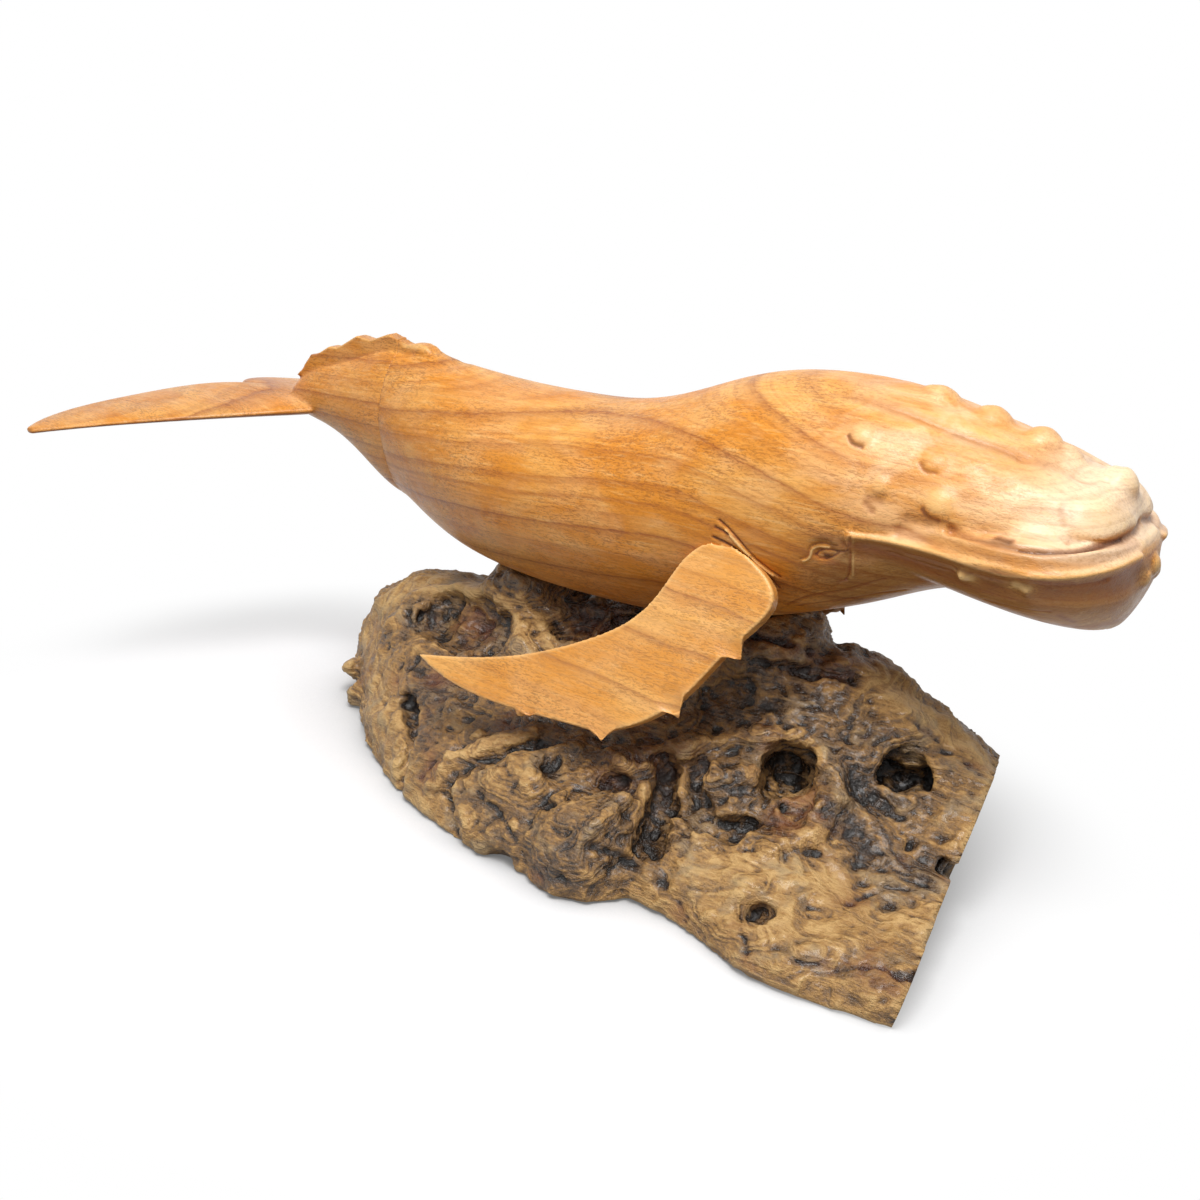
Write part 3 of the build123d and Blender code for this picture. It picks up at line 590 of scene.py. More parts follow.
def refine(mesh, near, size):
    """Splits the faces near the given points until their edges are about the given size, in mm."""
    bm = bmesh.new()
    bm.from_mesh(mesh)
    for _ in range(2):
        middles = np.array([(e.verts[0].co + e.verts[1].co) / 2 for e in bm.edges]) / MM
        long = np.array([e.calc_length() for e in bm.edges]) / MM > LONG_EDGE * size
        inside = near(middles) & long
        if not inside.any():
            break
        chosen = [e for e, take in zip(bm.edges, inside) if take]
        bmesh.ops.subdivide_edges(bm, edges=chosen, cuts=1, use_grid_fill=True)
    bm.to_mesh(mesh)
    bm.free()


def worked_down(mesh, spots, reach, rounds):
    """Wears the surface down to a soft even form within reach of the spots and of their mirror images."""
    points = places(mesh)
    probe = mirrored_places(points)
    wear = np.zeros(len(points))
    for spot in spots:
        wear = np.maximum(wear, np.clip(WEAR_REACH - np.linalg.norm(probe - spot, axis=1) / reach, 0, 1))
    edges = mesh_edges(mesh)
    edges = edges[(wear[edges] > 0).any(1)]
    taken, edges = np.unique(edges, return_inverse=True)
    edges = edges.reshape(-1, 2)
    patch, weight = points[taken], wear[taken][:, None]
    for _ in range(rounds):
        patch += WEAR_STEP * weight * (neighbour_mean(patch, edges) - patch)
    points[taken] = patch
    set_places(mesh, points)


def seated(points, tree, pull):
    """Sets points back on a CAD surface, by a share of their way to it."""
    for index in np.nonzero(pull > 0)[0]:
        nearest = tree.find_nearest(Vector(points[index] * MM))[0]
        points[index] += pull[index] * (np.array(nearest) / MM - points[index])
    return points


def drawn_out(points, cusps, width):
    """Draws points out towards the tips of small cusps."""
    for root, way, reach in cusps:
        near = slope(np.linalg.norm(points - root, axis=1), width, 0) ** 1.5
        points = points + reach * near[:, None] * way
    return points


def met(points, joint, side):
    """Draws a piece's end a little past its glued joint, so that no groove is left there."""
    inside = (points[:, 0] - joint) * side
    drawn = inside * (1 + JOINT_STRETCH) - JOINT_STRETCH * JOINT_REACH
    points[:, 0] = np.where(inside < JOINT_REACH, joint + side * drawn, points[:, 0])
    return points


def within(points, node):
    """Points held inside a CAD node's box."""
    low_corner, high_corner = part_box(node)
    return points.clip(np.array(low_corner) / MM, np.array(high_corner) / MM)


def line_distance(points, line):
    """Distance from each point to a line of points."""
    if len(line) == 1:
        return np.linalg.norm(points - line[0], axis=1)
    best = np.full(len(points), np.inf)
    for start, end in zip(line, line[1:]):
        run = end - start
        part = np.clip((points - start) @ run / (run @ run), 0, 1)
        best = np.minimum(best, np.linalg.norm(points - start - part[:, None] * run, axis=1))
    return best


def near_line(points, line, reach):
    """Which points lie in the line's box, made larger by the reach on all sides."""
    return np.all((points > line.min(0) - reach) & (points < line.max(0) + reach), axis=1)


def falloff(distance, width, crisp):
    """One on a feature and nothing well away from it. A crisp feature has a wall, and a soft one slopes."""
    soft = np.exp(-((distance / width) ** 2))
    step = slope(distance / width, *CRISP_WALL)
    return (1 - crisp) * soft + crisp * step * step * (3 - 2 * step)


def cloud(points, size, layers, seed):
    """Smooth noise from about -1 to 1 with features of a given size in mm. Each layer is twice as fine."""
    shift = Vector((seed * 17.3, seed * 5.1, seed * 9.7))
    return np.array([noise.fractal(Vector(p) + shift, 0.9, 2.0, layers) for p in points / size])


def ridges(points, size, layers, seed):
    """Ridged noise from about 0 to 1. Its sum of layers is up to 2.5."""
    shift = Vector((seed * 13.7, seed * 7.9, seed * 3.1))
    out = [noise.ridged_multi_fractal(Vector(p) + shift, 0.9, 2.1, layers, 1.0, 2.0) for p in points / size]
    return np.array(out) / 2.5


def put(mesh, **fields):
    """Gives the mesh a number or a vector at each vertex, by name."""
    for name, values in fields.items():
        kind, key = ("FLOAT", "value") if values.ndim == 1 else ("FLOAT_VECTOR", "vector")
        mesh.attributes.new(name, kind, "POINT").data.foreach_set(key, values.astype(np.float32).ravel())


def put_growth_lines(mesh, points, lines, arch):
    """Gives each vertex its level in the wood, and its ring's number, boldness and width."""
    heights, bolds = np.array(lines, float).T
    level = points[:, 2] - arch(points)
    rings = [np.interp(level, heights, each) for each in (np.arange(len(lines)), bolds, np.gradient(heights))]
    put(mesh, level=level, grain=np.stack(rings, 1))


def body_arch(points):
    """Height of the growth lines along the whale, with a slow wander."""
    along = np.interp(points[:, 0], *np.array(LINE_ARCH, float).T)
    return along + 0.10 * points[:, 1] + 1.6 * cloud(points * np.array([1, 1.6, 1.6]), 55, layers=2, seed=3)


def tail_arch(points):
    """Height of the growth lines in the tail's own block."""
    return body_arch(points) + TAIL_STEP


def blade_arch(points):
    """Height of the growth lines along a flipper."""
    return -0.13 * (points[:, 0] - 50) + 0.9 * cloud(points, size=26, layers=2, seed=5)


def add_piece(name, mesh, node, material):
    """A finished piece that stands for a CAD node, which it hides, and rides on the root's body."""
    mesh.name = name
    mesh.materials.clear()
    mesh.materials.append(material)
    mesh.polygons.foreach_set("use_smooth", np.ones(len(mesh.polygons), bool))
    piece = bpy.data.objects.new(name, mesh)
    bpy.context.scene.collection.objects.link(piece)
    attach(piece, "root")
    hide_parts(node)


def carve_whale(mesh, features, crisp):
    """How deep the features and their mirror images cut each vertex, in mm, and the tone that they leave."""
    probe = mirrored_places(places(mesh))
    return carved(probe, features, crisp, np.ones(len(probe)))


def carve_root(mesh, features, crisp, wobble, broken):
    """Depth in mm and tone of features that wander by some mm and are broken by a share of their depth."""
    points = places(mesh)
    probe = points + wobble * np.stack([cloud(points, 5, layers=2, seed=s) for s in (11, 12, 13)], 1)
    whole = 1 - broken * np.clip(0.5 - cloud(points, 4, layers=2, seed=21), 0, 1)
    return carved(probe, features, crisp, whole)


def carved(probe, features, crisp, whole):
    """Depth in mm and tone at each point, with the share of the features' depth that is whole there."""
    depth_sum = np.zeros(len(probe))
    tone_sum = np.zeros(len(probe))
    for name, width, depth, tone, line in features:
        line = np.array(line)
        near = near_line(probe, line, 3 * width)
        if near.any():
            distance = line_distance(probe[near], line)
            depth_sum[near] += depth * falloff(distance, width, crisp) * whole[near]
            weight = falloff(distance, 1.3 * width, 0.25 * crisp) * (0.4 + 0.6 * whole[near])
            tone_sum[near] = tone_sum[near] * (1 - weight) + tone * weight
    return depth_sum, tone_sum


def near_features(features, reach):
    """A test of which points lie near the features or their mirror images."""
    lines = [np.array(line) for *_, line in features]

    def near(points):
        probe = mirrored_places(points)
        found = np.zeros(len(points), bool)
        for line in lines:
            box = near_line(probe, line, reach)
            found[box] |= line_distance(probe[box], line) < reach
        return found

    return near


def keep_clear(points, push, gap):
    """Limits how far each point of the root may move outwards, so that it stays clear of the whale."""
    trees = [cad_tree(node) for node in ("whale_body", "right_flipper", "left_flipper")]
    for index in np.nonzero(push > 0)[0]:
        place = Vector(points[index] * MM)
        room = min(tree.find_nearest(place, FAR_ENOUGH)[3] or FAR_ENOUGH for tree in trees) / MM - gap
        push[index] = min(push[index], max(0.0, room))
    return push


def broad_plane(faces):
    """The middle, in mm, and the normal of the broadest face and of all that are level with it."""
    broad = max(faces, key=lambda p: p.area).normal.copy()
    faces = [p for p in faces if abs(p.normal.dot(broad)) > LEVEL]
    middle = sum((p.center * p.area for p in faces), Vector()) / sum(p.area for p in faces)
    return np.array(middle) / MM, np.array(broad)


def sawn_plane():
    """A point on the root's flat sawn end and the direction out of it."""
    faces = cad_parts["driftwood_base"].data.polygons
    return broad_plane([p for p in faces if p.normal.x > END_FACING])


def in_kerf(points):
    """How deep each point lies behind the sawn end, its place across the saw kerf, and the way across."""
    middle, out = sawn_plane()
    walls = []
    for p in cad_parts["driftwood_base"].data.polygons:
        depth = -(np.array(p.center) / MM - middle) @ out
        if abs(np.array(p.normal) @ out) < WALL_FACING and KERF_MOUTH < depth < KERF_DEPTH:
            walls.append(p)
    centre, across = broad_plane(walls)
    return -(points - middle) @ out, (points - centre) @ across, across


def widened_kerf(points, by):
    """Moves the walls of the saw kerf apart, each by the given distance in mm."""
    depth, side, across = in_kerf(points)
    inside = slope(depth, *KERF_MOVED_DEEP) * slope(abs(side), *KERF_MOVED_WIDE)
    return points + (by * inside * np.sign(side))[:, None] * across


def root_freedom(points):
    """One where the root may be shaped, and nothing at its foot, its screw holes and its kerf's walls."""
    free = slope(points[:, 2], *FOOT_ZONE)
    for node in ("rear_screw", "front_screw"):
        low_corner, high_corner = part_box(node)
        centre = np.array((low_corner + high_corner) / 2)[:2] / MM
        bore = np.linalg.norm(points[:, :2] - centre, axis=1)
        free *= np.where(points[:, 2] < SCREW_TOP, slope(bore, *SCREW_ZONE), 1)
    depth, side, across = in_kerf(points)
    return free * (1 - slope(depth, *KERF_STILL_DEEP) * (1 - slope(abs(side), *KERF_STILL_WIDE)))


def emptied(owner):
    """The node tree of a material or a world, switched on and without nodes."""
    owner.use_nodes = True
    owner.node_tree.nodes.clear()
    return owner.node_tree


def wire(tree, kind, inputs, output=0, **settings):
    """One output of a new shader node, or the node itself for None.

    Its settings come by name and its sockets by name or number, each with a value or another node's output.
    """
    made = tree.nodes.new("ShaderNode" + kind)
    for name, value in settings.items():
        setattr(made, name, value)
    for name, value in inputs.items():
        socket = made.inputs[name]
        value = value.socket if isinstance(value, Value) else value
        if isinstance(value, bpy.types.NodeSocket):
            tree.links.new(value, socket)
        elif socket.type == "RGBA":
            socket.default_value = (*value, 1.0)
        else:
            socket.default_value = value
    return made if output is None else made.outputs[output]


class Value:
    """A number or a colour in a material. Numbers can be reckoned with."""

    def __init__(self, shader, socket):
        self.shader = shader
        self.socket = socket

    def __add__(self, other):
        return self.shader.math("ADD", self, other)

    def __sub__(self, other):
        return self.shader.math("SUBTRACT", self, other)

    def __mul__(self, other):
        return self.shader.math("MULTIPLY", self, other)

    def __truediv__(self, other):
        return self.shader.math("DIVIDE", self, other)

    def between(self, low, high, top=1.0, foot=0.0):
        """Foot at the low value, top at the high one and a smooth step between them."""
        inputs = {"Value": self, "From Min": low, "From Max": high, "To Min": foot, "To Max": top}
        return self.shader.wire("MapRange", inputs, clamp=True, interpolation_type="SMOOTHSTEP")


class Shader:
    """Short words for the nodes of one material. Sizes are in mm."""

    def __init__(self, name):
        self.material = bpy.data.materials.new(name)
        self.tree = emptied(self.material)
        here = {0: self.wire("TexCoord", {}, "Object"), "Scale": 1 / MM}
        self.place = self.wire("VectorMath", here, operation="SCALE")

    def wire(self, kind, inputs, output=0, **settings):
        """One output of a new node."""
        return Value(self, wire(self.tree, kind, inputs, output, **settings))

    def math(self, operation, *values, clamp=False):
        """The outcome of a sum, held between 0 and 1 if it is clamped."""
        return self.wire("Math", dict(enumerate(values)), operation=operation, use_clamp=clamp)

    def noise(self, sizes, detail=2.0, rough=0.5, warp=0.0, scale=1.0):
        """Noise with its features' sizes along, across and up."""
        inputs = {0: self.place, 1: tuple(1 / size for size in sizes)}
        inputs = {"Vector": self.wire("VectorMath", inputs, operation="MULTIPLY"), "Scale": scale}
        inputs.update({"Detail": detail, "Roughness": rough, "Distortion": warp})
        return self.wire("TexNoise", inputs, "Fac")

    def line_noise(self, value, size, detail):
        """Noise along one number, in steps of a size."""
        inputs = {"W": value, "Scale": 1 / size, "Detail": detail, "Roughness": 0.6}
        return self.wire("TexNoise", inputs, "Fac", noise_dimensions="1D")

    def layered(self, colour, layers):
        """A colour under layers of others, each with its share."""
        for part, tint in layers:
            colour = self.wire("Mix", {0: part, 6: colour, 7: tint}, 2, data_type="RGBA")
        return colour

    def ramp(self, value, stops):
        """Colours along a number from 0 to 1."""
        made = wire(self.tree, "ValToRGB", {0: value}, None)
        elements = made.color_ramp.elements
        for place, tint in stops[2:]:
            elements.new(place)
        for element, (place, tint) in zip(elements, stops):
            element.position = place
            element.color = (*tint, 1)
        return Value(self, made.outputs["Color"])

    def field(self, name):
        """What each vertex of the mesh has under a name."""
        return self.wire("Attribute", {}, "Fac", attribute_name=name)

    def finish(self, colour, rough, height, depth, **constants):
        """The surface: colour, roughness, bump and its depth in metres, and the shader's own constants."""
        bump = self.wire("Bump", {"Height": height, "Strength": 1.0, "Distance": depth})
        inputs = {"Base Color": colour, "Roughness": rough, "Normal": bump}
        inputs.update({name.replace("_", " "): value for name, value in constants.items()})
        wire(self.tree, "OutputMaterial", {"Surface": self.wire("BsdfPrincipled", inputs)}, None)
        return self.material


def varnished_wood(name, wood, shift):
    """Light wood with growth lines, pores and patches, under satin varnish."""
    shader = Shader(name)
    level, pale, tone, stand = (shader.field(name) for name in ("level", "pale", "tone", "stand"))
    grain = shader.wire("Attribute", {}, "Vector", attribute_name="grain")
    number, bold, width = (shader.wire("SeparateXYZ", {0: grain}, axis) for axis in range(3))

    # Each growth line is sharp on one side and fades slowly on the other, and wanders a little
    wander = (shader.noise((24, 9, 9)) - 0.5) * 1.6 + (shader.noise((5, 1.6, 1.6)) - 0.5) * 0.7
    ring = shader.math("FRACT", number + wander / width)
    before = shader.math("SUBTRACT", 1.0, ring) * width
    sharp = shader.math("EXPONENT", ring * width * -2.4)
    slow = shader.math("EXPONENT", before * -1.1)
    halo = shader.math("EXPONENT", before * -0.32) * bold
    broken = shader.noise((2.4, 0.7, 0.7), 3, 0.6).between(0.3, 0.6)
    line = shader.math("MAXIMUM", sharp, slow) * bold
    line = shader.math("MULTIPLY", line, broken * 0.5 + 0.5, clamp=True)

    # Fine lines, streaks and pores lie along the grain, and broad patches over them
    fine = shader.line_noise(level + shift, 1.5, 3)
    streak = shader.noise((14, 1.3, 1.1), 3, 0.65)
    pores = shader.noise((2.2, 0.62, 0.55), 2, 0.6).between(0.50, 0.64)
    dots = shader.noise((0.9, 0.6, 0.55), 1).between(0.54, 0.68)
    dense = shader.noise((26, 14, 10)).between(0.3, 0.7, 1.0, 0.35)
    pores = shader.math("MAXIMUM", pores, dots * 0.8) * dense
    patch = shader.noise((46, 20, 16), 3, 0.55, 0.4).between(0.36, 0.60)
    blush = shader.noise((26, 18, 14), 3, 0.6, 0.6, scale=1.3).between(0.40, 0.66)
    # The pale field is painted light and shade: above nothing it lightens the upper faces towards blush, and
    # the growth lines and pores fade under it
    light = shader.math("MAXIMUM", pale, 0.0)
    blush_and_painted_light = shader.math("ADD", light * (blush * 0.6 + 0.3), blush * 0.25, clamp=True)
    calm = pale.between(0.0, 1.0, 0.45, 1.0)
    tone_and_streak = (streak - 0.5) * 0.5 + tone

    layers = (
        (patch, wood.amber),
        (blush_and_painted_light, wood.blush),
        # Past one the pale field gives the snout's painted highlight, and below nothing the painted shade
        # under the jaw and the throat
        (pale.between(1.0, 1.7, 0.85), wood.snout_highlight),
        (pale.between(-0.05, -1.0, 0.55), wood.painted_shade),
        (fine.between(0.42, 0.72, 0.22), wood.line),
        (streak.between(0.5, 0.75, 0.24), wood.line),
        (streak.between(0.5, 0.25, 0.35), wood.worn),
        (halo * calm * 0.30, wood.line),
        (line * calm * 0.80, wood.line),
        (pores * calm * 0.48, wood.pore),
        # Painted highlight on ridges and painted shade in grooves
        (stand.between(0.04, 0.35, 0.35), wood.worn),
        (stand.between(-0.04, -0.35, 0.45), wood.line),
        # The features' tone: carved lines and worn spots, with painted highlight on the knobs' tops and the
        # lip's edge and painted shade at the knobs' feet and under the lip
        (tone_and_streak.between(0.05, 1.0, 0.85), wood.worn),
        (tone_and_streak.between(-0.08, -0.55, 0.5), wood.line),
        (tone_and_streak.between(-0.35, -1.0, 0.85), wood.groove),
    )
    rough = shader.noise((5, 3, 3)).between(0.3, 0.7, wood.rough + 0.07, wood.rough - 0.05)
    height = streak * 0.5 - pores * 0.6 - line * 0.3
    varnish = {"Coat_Weight": 0.12, "Coat_Roughness": 0.20, "Specular_IOR_Level": 0.28}
    return shader.finish(shader.layered(wood.honey, layers), rough, height, 0.00010, **varnish)


def darker(tint, by):
    """A colour times a number below one."""
    return tuple(by * c for c in tint)


def end_dowel(name, tint):
    """Plain turned wood with fibres along it."""
    shader = Shader(name)
    fibre = shader.noise((6, 0.4, 0.4), 3, 0.6)
    pores = shader.noise((1.5, 0.25, 0.25), 1).between(0.62, 0.75, 0.5)
    layers = (fibre.between(0.35, 0.7, 0.6), darker(tint, 0.55)), (pores, darker(tint, 0.4))
    return shader.finish(shader.layered(tint, layers), fibre.between(0.3, 0.7, 0.65, 0.5), fibre, 0.00005)


def brushed_steel(name, tint):
    """Bright screw steel with fine turning marks and a few darker spots."""
    shader = Shader(name)
    turning = shader.noise((1.2, 1.2, 0.08), 2, 0.6)
    spots = shader.noise((1.4, 1.4, 1.4), 3, 0.6).between(0.58, 0.72, 0.6)
    colour = shader.layered(tint, ((spots, darker(tint, 0.45)),))
    return shader.finish(colour, turning.between(0.3, 0.7, 0.42, 0.24), turning, 0.00002, Metallic=1.0)


def root_wood(name, wood):
    """Driftwood from tan to black by its tone, with fibres, specks and patches of thick varnish."""
    shader = Shader(name)
    fields = ("tone", "figure", "stand", "deep", "red")
    tone, figure, stand, deep, red = (shader.field(name) for name in fields)
    mottle = shader.noise((9, 6, 6), 4, 0.62, 0.8) - 0.5
    speck = shader.noise((1.6, 1.1, 1.1), 3, 0.7) - 0.5
    fibre = shader.line_noise(figure, 1.3, 3) - 0.5
    strand = shader.noise((8, 1.0, 1.0), 3, 0.65, 0.5) - 0.5
    value = tone + mottle * 1.8 + speck * 1.2 + fibre * 1.9 + strand * 1.7
    # Painted highlight on small ridges and painted shade in small grooves, then painted light on broad swells
    # and painted shade in broad hollows
    value = value + stand.between(0.05, 0.6, 0.3) - stand.between(-0.05, -0.6, 0.8)
    value = value + deep.between(0.3, 2.5, 0.4) - deep.between(-0.2, -3.0, 1.1)
    stops = ((0.0, wood.black), (0.2, wood.dark), (0.5, wood.brown), (0.72, wood.tan), (1.0, wood.pale))
    grey = shader.noise((15, 11, 11), 3, 0.6, 0.5).between(0.50, 0.66) * value.between(-0.9, 0.2, 0.5)
    bark = shader.math("MULTIPLY", red, mottle.between(-0.2, 0.15), clamp=True) * 0.6
    colour = shader.ramp(value.between(-1.75, 1.45), stops)
    colour = shader.layered(colour, ((grey, wood.grey), (bark, wood.red)))
    height = speck + fibre * 0.7 + strand * 0.6
    varnish = {"Coat_Weight": 0.16, "Coat_Roughness": 0.14, "Specular_IOR_Level": 0.5}
    return shader.finish(colour, value.between(-1.1, 0.5, 0.6, 0.18), height, 0.0009, **varnish)


class WHALE_OT_body(Operator):
    """Carve the whale's body: lips, eyes, wrinkles and throat folds, and give it its growth lines"""

    bl_idname = "whale.body"
    bl_label = "Carve the body"

    def execute(self, context):
        wood = context.scene.whale_wood
        tree = cad_tree("whale_body")
        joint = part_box("whale_body")[0].x / MM
        mesh = even_mesh("whale_body", wood.body_face)
        spots = [on_surface(tree, pixel) for pixel in WORKED_SPOTS]
        spots += [under_sky(tree, along) for along in WORKED_RIDGE]
        worked_down(mesh, [spot for spot in spots if spot is not None], reach=4.6, rounds=150)
        smooth(mesh, rounds=5)
        points = places(mesh)
        along, high = points[:, 0], points[:, 2]
        band = np.exp(-(((high - SNOUT_HEIGHT) / SNOUT_SPREAD) ** 2))
        points[:, 2] += SNOUT_LIFT * band * slope(along, *SNOUT_REAR) * slope(along, *SNOUT_FRONT)
        points = seated(points, tree, slope(along, joint + 7, joint + 3))
        set_places(mesh, points)
        worn = tree_of(mesh)
        features = placed(WHALE_FEATURES, worn)
        for along, height, width in KEEL_BUMPS:
            features.append(("keel_bump", width, -height, KEEL_TONE, [under_sky(worn, along)]))
        refine(mesh, near_features(features, reach=2.2), wood.fine_face / MM)
        smooth(mesh, rounds=2)
        depth, tone = carve_whale(mesh, features, crisp=0.2)
        points = places(mesh) - depth[:, None] * normals(mesh)
        points = within(met(points, joint, 1), "whale_body")
        set_places(mesh, points)
        put_growth_lines(mesh, points, BODY_LINES, body_arch)
        # Painted light and shade: pale lightens the faces that turn up along the head and gives the snout a
        # painted highlight, and goes below nothing for painted shade on the faces that turn down under the
        # jaw and the throat
        along, high, rise = points[:, 0], points[:, 2], normals(mesh)[:, 2]
        snout_highlight = slope(along, *SNOUT_HIGHLIGHT_ALONG) * slope(high, *SNOUT_HIGHLIGHT_HIGH)
        pale = np.clip(rise * 1.2 + 0.45, 0, 1) * slope(along, *LIT_HEAD_ALONG) + 0.8 * snout_highlight
        painted_shade = np.clip(1.1 - 1.5 * rise, 0, 1) * slope(along, *SHADE_ALONG) * slope(high, *SHADE_LOW)
        # Painted highlight on ridges and painted shade in grooves, from the joint on
        stand = curvature(mesh, spread=5) * slope(along - joint, *EDGE_SHADING_FROM_JOINT)
        put(mesh, tone=tone, pale=pale * (1 - painted_shade) - painted_shade, stand=stand)
        finish = varnished_wood("honey wood of the body", wood, 0.0)
        add_piece("carved_body", mesh, "whale_body", finish)
        return {"FINISHED"}


class WHALE_OT_tail(Operator):
    """Carve the tail stock with its crest and flukes"""

    bl_idname = "whale.tail"
    bl_label = "Carve the tail"

    def execute(self, context):
        wood = context.scene.whale_wood
        mesh = even_mesh("tail_flukes", wood.blade_face)
        smooth(mesh, rounds=3)
        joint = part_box("tail_flukes")[1].x / MM
        end = joint - STOCK_LENGTH
        points = places(mesh)
        points = seated(points, cad_tree("tail_flukes"), slope(points[:, 0], end, end + STOCK_SLOPE))
        points = met(points, joint, -1)
        set_places(mesh, points)
        put_growth_lines(mesh, points, BODY_LINES, tail_arch)
        flukes = slope(points[:, 0], end, end - STOCK_SLOPE)
        # Painted shade on the flukes' faces that turn sideways and down
        tone = -0.6 * flukes * np.clip(0.5 - 2 * normals(mesh)[:, 2], 0, 1)
        # Painted highlight on ridges and painted shade in grooves; the flukes keep only the shade
        stand = curvature(mesh, spread=6) * slope(joint - points[:, 0], *EDGE_SHADING_FROM_JOINT)
        stand = np.where(flukes > 0, np.minimum(stand, 0), stand)
        put(mesh, tone=tone, pale=0.1 * flukes, stand=stand)
        finish = varnished_wood("honey wood of the tail", wood, 7.0)
        add_piece("carved_tail", mesh, "tail_flukes", finish)
        return {"FINISHED"}


class WHALE_OT_flippers(Operator):
    """Soften both flippers, draw out their cusps and give them growth lines of their own"""

    bl_idname = "whale.flippers"
    bl_label = "Carve the flippers"

    def execute(self, context):
        wood = context.scene.whale_wood
        finish = varnished_wood("honey wood of the flippers", wood, 23.0)
        tree = cad_tree("right_flipper")
        right, up, _ = camera_axes()
        cusps = []
        for root, tip, reach in CUSPS:
            place = on_surface(tree, root)
            if place is not None:
                way = (right * (tip[0] - root[0]) - up * (tip[1] - root[1])).normalized()
                cusps.append((place, np.array(way), reach))
        for side, turned in (("right", np.array((1, 1, 1))), ("left", np.array((1, -1, 1)))):
            mesh = even_mesh(side + "_flipper", wood.blade_face)
            worked_down(mesh, [root for root, way, reach in cusps], reach=2.6, rounds=10)
            smooth(mesh, rounds=8)
            tips = [(root * turned, way * turned, reach) for root, way, reach in cusps]
            points = drawn_out(places(mesh), tips, CUSP_WIDTH)
            set_places(mesh, points)
            put_growth_lines(mesh, points, FLIPPER_LINES, blade_arch)
            plain = np.zeros(len(points))
            # Stand gives painted highlight on ridges and painted shade in grooves
            put(mesh, tone=plain + FLIPPER_TONE, pale=plain, stand=curvature(mesh, spread=6))
            add_piece("carved_" + side + "_flipper", mesh, side + "_flipper", finish)
        return {"FINISHED"}


class WHALE_OT_root(Operator):
    """Shape the driftwood root: hollows, ridges, holes, cracks, ragged crust and fibres"""

    bl_idname = "whale.root"
    bl_label = "Shape the root"

    def execute(self, context):
        wood = context.scene.root_wood
        features = placed(ROOT_FEATURES, cad_tree("driftwood_base"))
        bold = [f for f in features if abs(f[2]) >= BOLD_DEPTH and f[1] >= BOLD_WIDTH]
        fine = [f for f in features if f not in bold]

        # The bold forms first, on a coarse mesh
        mesh = even_mesh("driftwood_base", wood.first_face)
        worked_down(mesh, [f[4][0] for f in features if f[0] == "low_nub"], reach=4.5, rounds=60)
        smooth(mesh, rounds=3)
        depth, tone = carve_root(mesh, bold, crisp=0.55, wobble=1.0, broken=0.4)
        points = places(mesh)
        swell = sum(height * cloud(points, size, 3, seed) for height, size, seed in ROOT_SWELL)
        push = keep_clear(points, (swell - depth) * root_freedom(points), gap=0.5)
        points += push[:, None] * normals(mesh)
        points[:, 2] = points[:, 2].clip(0)
        set_places(mesh, points)
        smooth(mesh, rounds=1)

        # Then the fine ones, the ragged crust and the fibres
        mesh = remeshed(mesh, wood.face)
        smooth(mesh, rounds=1)
        tone = carve_root(mesh, features, crisp=0.4, wobble=0.9, broken=0.6)[1]
        depth = carve_root(mesh, fine, crisp=0.4, wobble=0.5, broken=0.6)[0]
        points = places(mesh)
        figure = points[:, 2] * 0.8 - points[:, 1] * 0.5
        for height, stretch, size, seed in ROOT_FIGURE:
            figure += height * cloud(points * np.array([stretch, 1, 1]), size, 2, seed)
        rough = (1 - 0.8 * np.clip(tone * 1.4, 0, 1)) * (ridges(points, RAGGED_SIZE, layers=4, seed=4) - 0.45)
        grooves = abs(np.sin(figure * math.pi / FIBRE_SPACING)) - 0.5
        push = (rough * wood.ragged + grooves * wood.fibre) / MM - depth
        push = keep_clear(points, push * root_freedom(points), gap=0.3)
        points += push[:, None] * normals(mesh)

        # The sawn end is cut flat again, and its kerf stays open
        middle, out = sawn_plane()
        short = -(points - middle) @ out
        points += np.where(short < SAWN_REACH, short, 0)[:, None] * out
        set_places(mesh, within(widened_kerf(points, KERF_WIDENING), "driftwood_base"))
        points = places(mesh)

        general = 0.5 * cloud(points, size=30, layers=3, seed=9) - 0.1
        red = np.clip(cloud(points, size=20, layers=3, seed=15) * 2.2 - 0.5, 0, 1)
        for name, width, depth, shade, line in features:
            if name in REDDISH:
                red = np.maximum(red, falloff(line_distance(points, line), 2.2 * width, 0))
        tone = tone + (1 - abs(tone).clip(0, 1)) * general
        stand, deep = curvature(mesh, spread=6), curvature(mesh, spread=45)
        put(mesh, tone=tone, figure=figure, red=red, stand=stand, deep=deep)
        add_piece("driftwood_root", mesh, "driftwood_base", root_wood("driftwood", wood))
        return {"FINISHED"}


class WHALE_OT_hardware(Operator):
    """Finish the hidden dowel, pins and screws"""

    bl_idname = "whale.hardware"
    bl_label = "Finish the hardware"

    def execute(self, context):
        hardware = context.scene.whale_hardware
        dowel = end_dowel("dowel wood", hardware.dowel)
        steel = brushed_steel("screw steel", hardware.steel)
        finishes = {
            dowel: ("tail_dowel", "right_flipper_pin", "left_flipper_pin"),
            steel: ("front_screw", "rear_screw"),
        }
        for material, nodes in finishes.items():
            for node in nodes:
                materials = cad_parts[node].data.materials
                materials.clear()
                materials.append(material)
        return {"FINISHED"}


def aimed(data, place, aim):
    """A lamp or a camera at one place, turned towards another."""
    made = bpy.data.objects.new(data.name, data)
    made.location = place
    made.rotation_euler = (Vector(aim) - Vector(place)).to_track_quat("-Z", "Y").to_euler()
    bpy.context.scene.collection.objects.link(made)
    return made


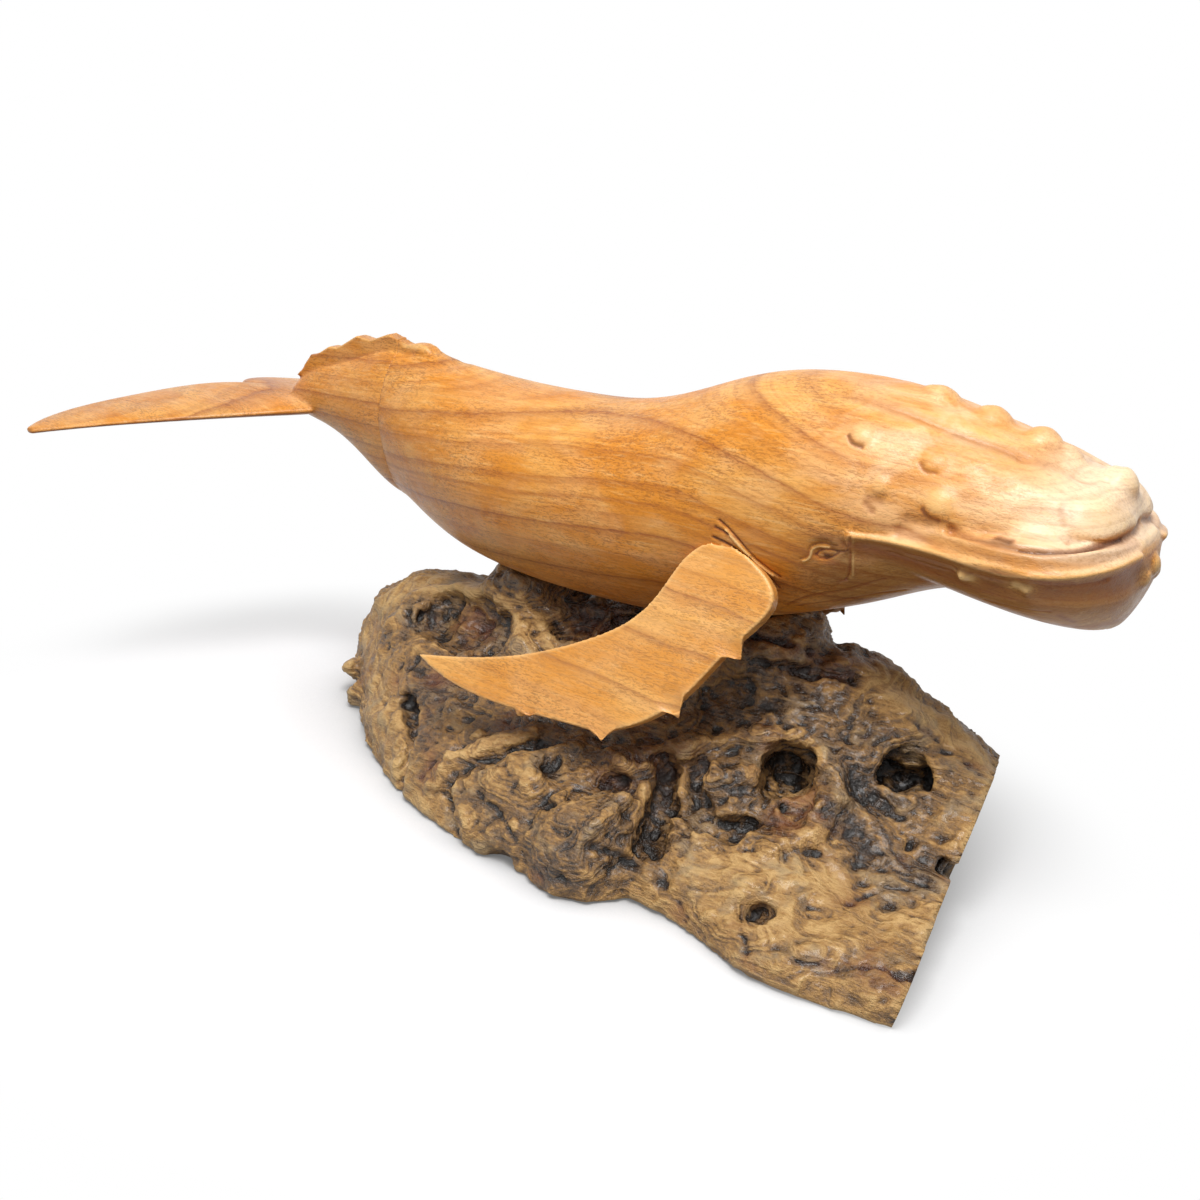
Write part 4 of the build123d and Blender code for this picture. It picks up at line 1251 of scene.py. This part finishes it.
def soft_lamp(name, energy, place, aim, size):
    """A square soft lamp."""
    data = bpy.data.lights.new(name, "AREA")
    data.shape = "SQUARE"
    data.size = size
    data.energy = energy
    aimed(data, place, aim)


def seen_share(tree):
    """One for what the camera and reflections see, and nothing for all other light."""
    path = wire(tree, "LightPath", {}, None).outputs
    return wire(tree, "Math", {0: path["Is Camera Ray"], 1: path["Is Glossy Ray"]}, operation="MAXIMUM")


def blended(tree, part, first, second):
    """Two surfaces or lights, with the second one's share."""
    return wire(tree, "MixShader", {0: part, 1: first, 2: second})


def white_surround(strength):
    """Soft light from all round that the camera and reflections see as white."""
    world = bpy.data.worlds.new("studio")
    bpy.context.scene.world = world
    tree = emptied(world)
    soft = wire(tree, "Background", {"Color": WHITE, "Strength": strength})
    white = wire(tree, "Background", {"Color": WHITE, "Strength": 1.0})
    wire(tree, "OutputWorld", {"Surface": blended(tree, seen_share(tree), soft, white)}, None)


def white_floor(name):
    """Pale matt floor that keeps the object's shadow and is white to the camera elsewhere."""
    material = bpy.data.materials.new(name)
    tree = emptied(material)
    place = wire(tree, "TexCoord", {}, "Object")
    place = wire(tree, "VectorMath", {0: place, 1: FADE_SHIFT}, operation="ADD")
    oval = wire(tree, "VectorMath", {0: place, 1: FADE_SCALE}, operation="MULTIPLY")
    reach = wire(tree, "VectorMath", {0: oval}, "Value", operation="LENGTH")
    fade = {"Value": reach, "From Min": FADE_START, "From Max": FADE_END}
    far = wire(tree, "MapRange", fade, interpolation_type="SMOOTHSTEP")
    # Painted contact shade: the floor's colour darkens where the object is near
    painted_contact_shade = wire(tree, "AmbientOcclusion", {"Color": FLOOR_TINT, "Distance": CONTACT_REACH}, samples=8)
    matt = wire(tree, "BsdfDiffuse", {"Color": painted_contact_shade})
    grey = wire(tree, "BsdfDiffuse", {"Color": FLOOR_BOUNCE})
    glow = wire(tree, "Emission", {"Color": WHITE, "Strength": FLOOR_GLOW})
    white = wire(tree, "Emission", {"Color": WHITE, "Strength": 1.0})
    faded = blended(tree, far, wire(tree, "AddShader", {0: matt, 1: glow}), white)
    wire(tree, "OutputMaterial", {"Surface": blended(tree, seen_share(tree), grey, faded)}, None)
    return material


class WHALE_OT_studio(Operator):
    """Set up the floor, the lamps and the photograph's camera"""

    bl_idname = "whale.studio"
    bl_label = "Set up the studio"

    def execute(self, context):
        studio = context.scene.whale_studio
        scene = context.scene
        half = studio.floor / 2
        mesh = bpy.data.meshes.new("floor")
        corners = [(-half, -half, 0), (half, -half, 0), (half, half, 0), (-half, half, 0)]
        mesh.from_pydata(corners, [], [(0, 1, 2, 3)])
        mesh.materials.append(white_floor("white floor"))
        floor = bpy.data.objects.new("floor", mesh)
        floor.location.z = -FLOOR_DROP
        scene.collection.objects.link(floor)
        white_surround(studio.sky)
        soft_lamp("key", studio.key_power, *KEY_LAMP)
        soft_lamp("fill", studio.fill_power, *FILL_LAMP)
        camera = bpy.data.cameras.new("camera")
        camera.lens = LENS
        camera.sensor_width = SENSOR
        scene.camera = aimed(camera, CAMERA_PLACE, CAMERA_TARGET)
        scene.view_settings.view_transform = "Standard"
        return {"FINISHED"}


class WHALE_PT_panel(Panel):
    """Steps that dress the whale"""

    bl_label = "Carved whale"
    bl_idname = "WHALE_PT_panel"
    bl_space_type = "VIEW_3D"
    bl_region_type = "UI"
    bl_category = "Whale"

    def draw(self, context):
        for step in STEPS:
            self.layout.operator(step.bl_idname)
        for settings in SETTINGS:
            group = getattr(context.scene, settings)
            box = self.layout.box()
            for name in group.__annotations__:
                box.prop(group, name)


STEPS = (WHALE_OT_studio, WHALE_OT_body, WHALE_OT_tail, WHALE_OT_flippers, WHALE_OT_root, WHALE_OT_hardware)
SETTINGS = {
    "whale_wood": WhaleWood,
    "root_wood": RootWood,
    "whale_hardware": Hardware,
    "whale_studio": Studio,
}


def register():
    for kind in (*SETTINGS.values(), *STEPS, WHALE_PT_panel):
        bpy.utils.register_class(kind)
    for name, kind in SETTINGS.items():
        setattr(bpy.types.Scene, name, PointerProperty(type=kind))


def unregister():
    for name in SETTINGS:
        delattr(bpy.types.Scene, name)
    for kind in (WHALE_PT_panel, *reversed(STEPS), *reversed(SETTINGS.values())):
        bpy.utils.unregister_class(kind)


def main():
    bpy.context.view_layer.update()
    register()
    bpy.ops.whale.studio()
    bpy.ops.whale.body()
    bpy.ops.whale.tail()
    bpy.ops.whale.flippers()
    bpy.ops.whale.root()
    bpy.ops.whale.hardware()


if __name__ == "__main__":
    main()
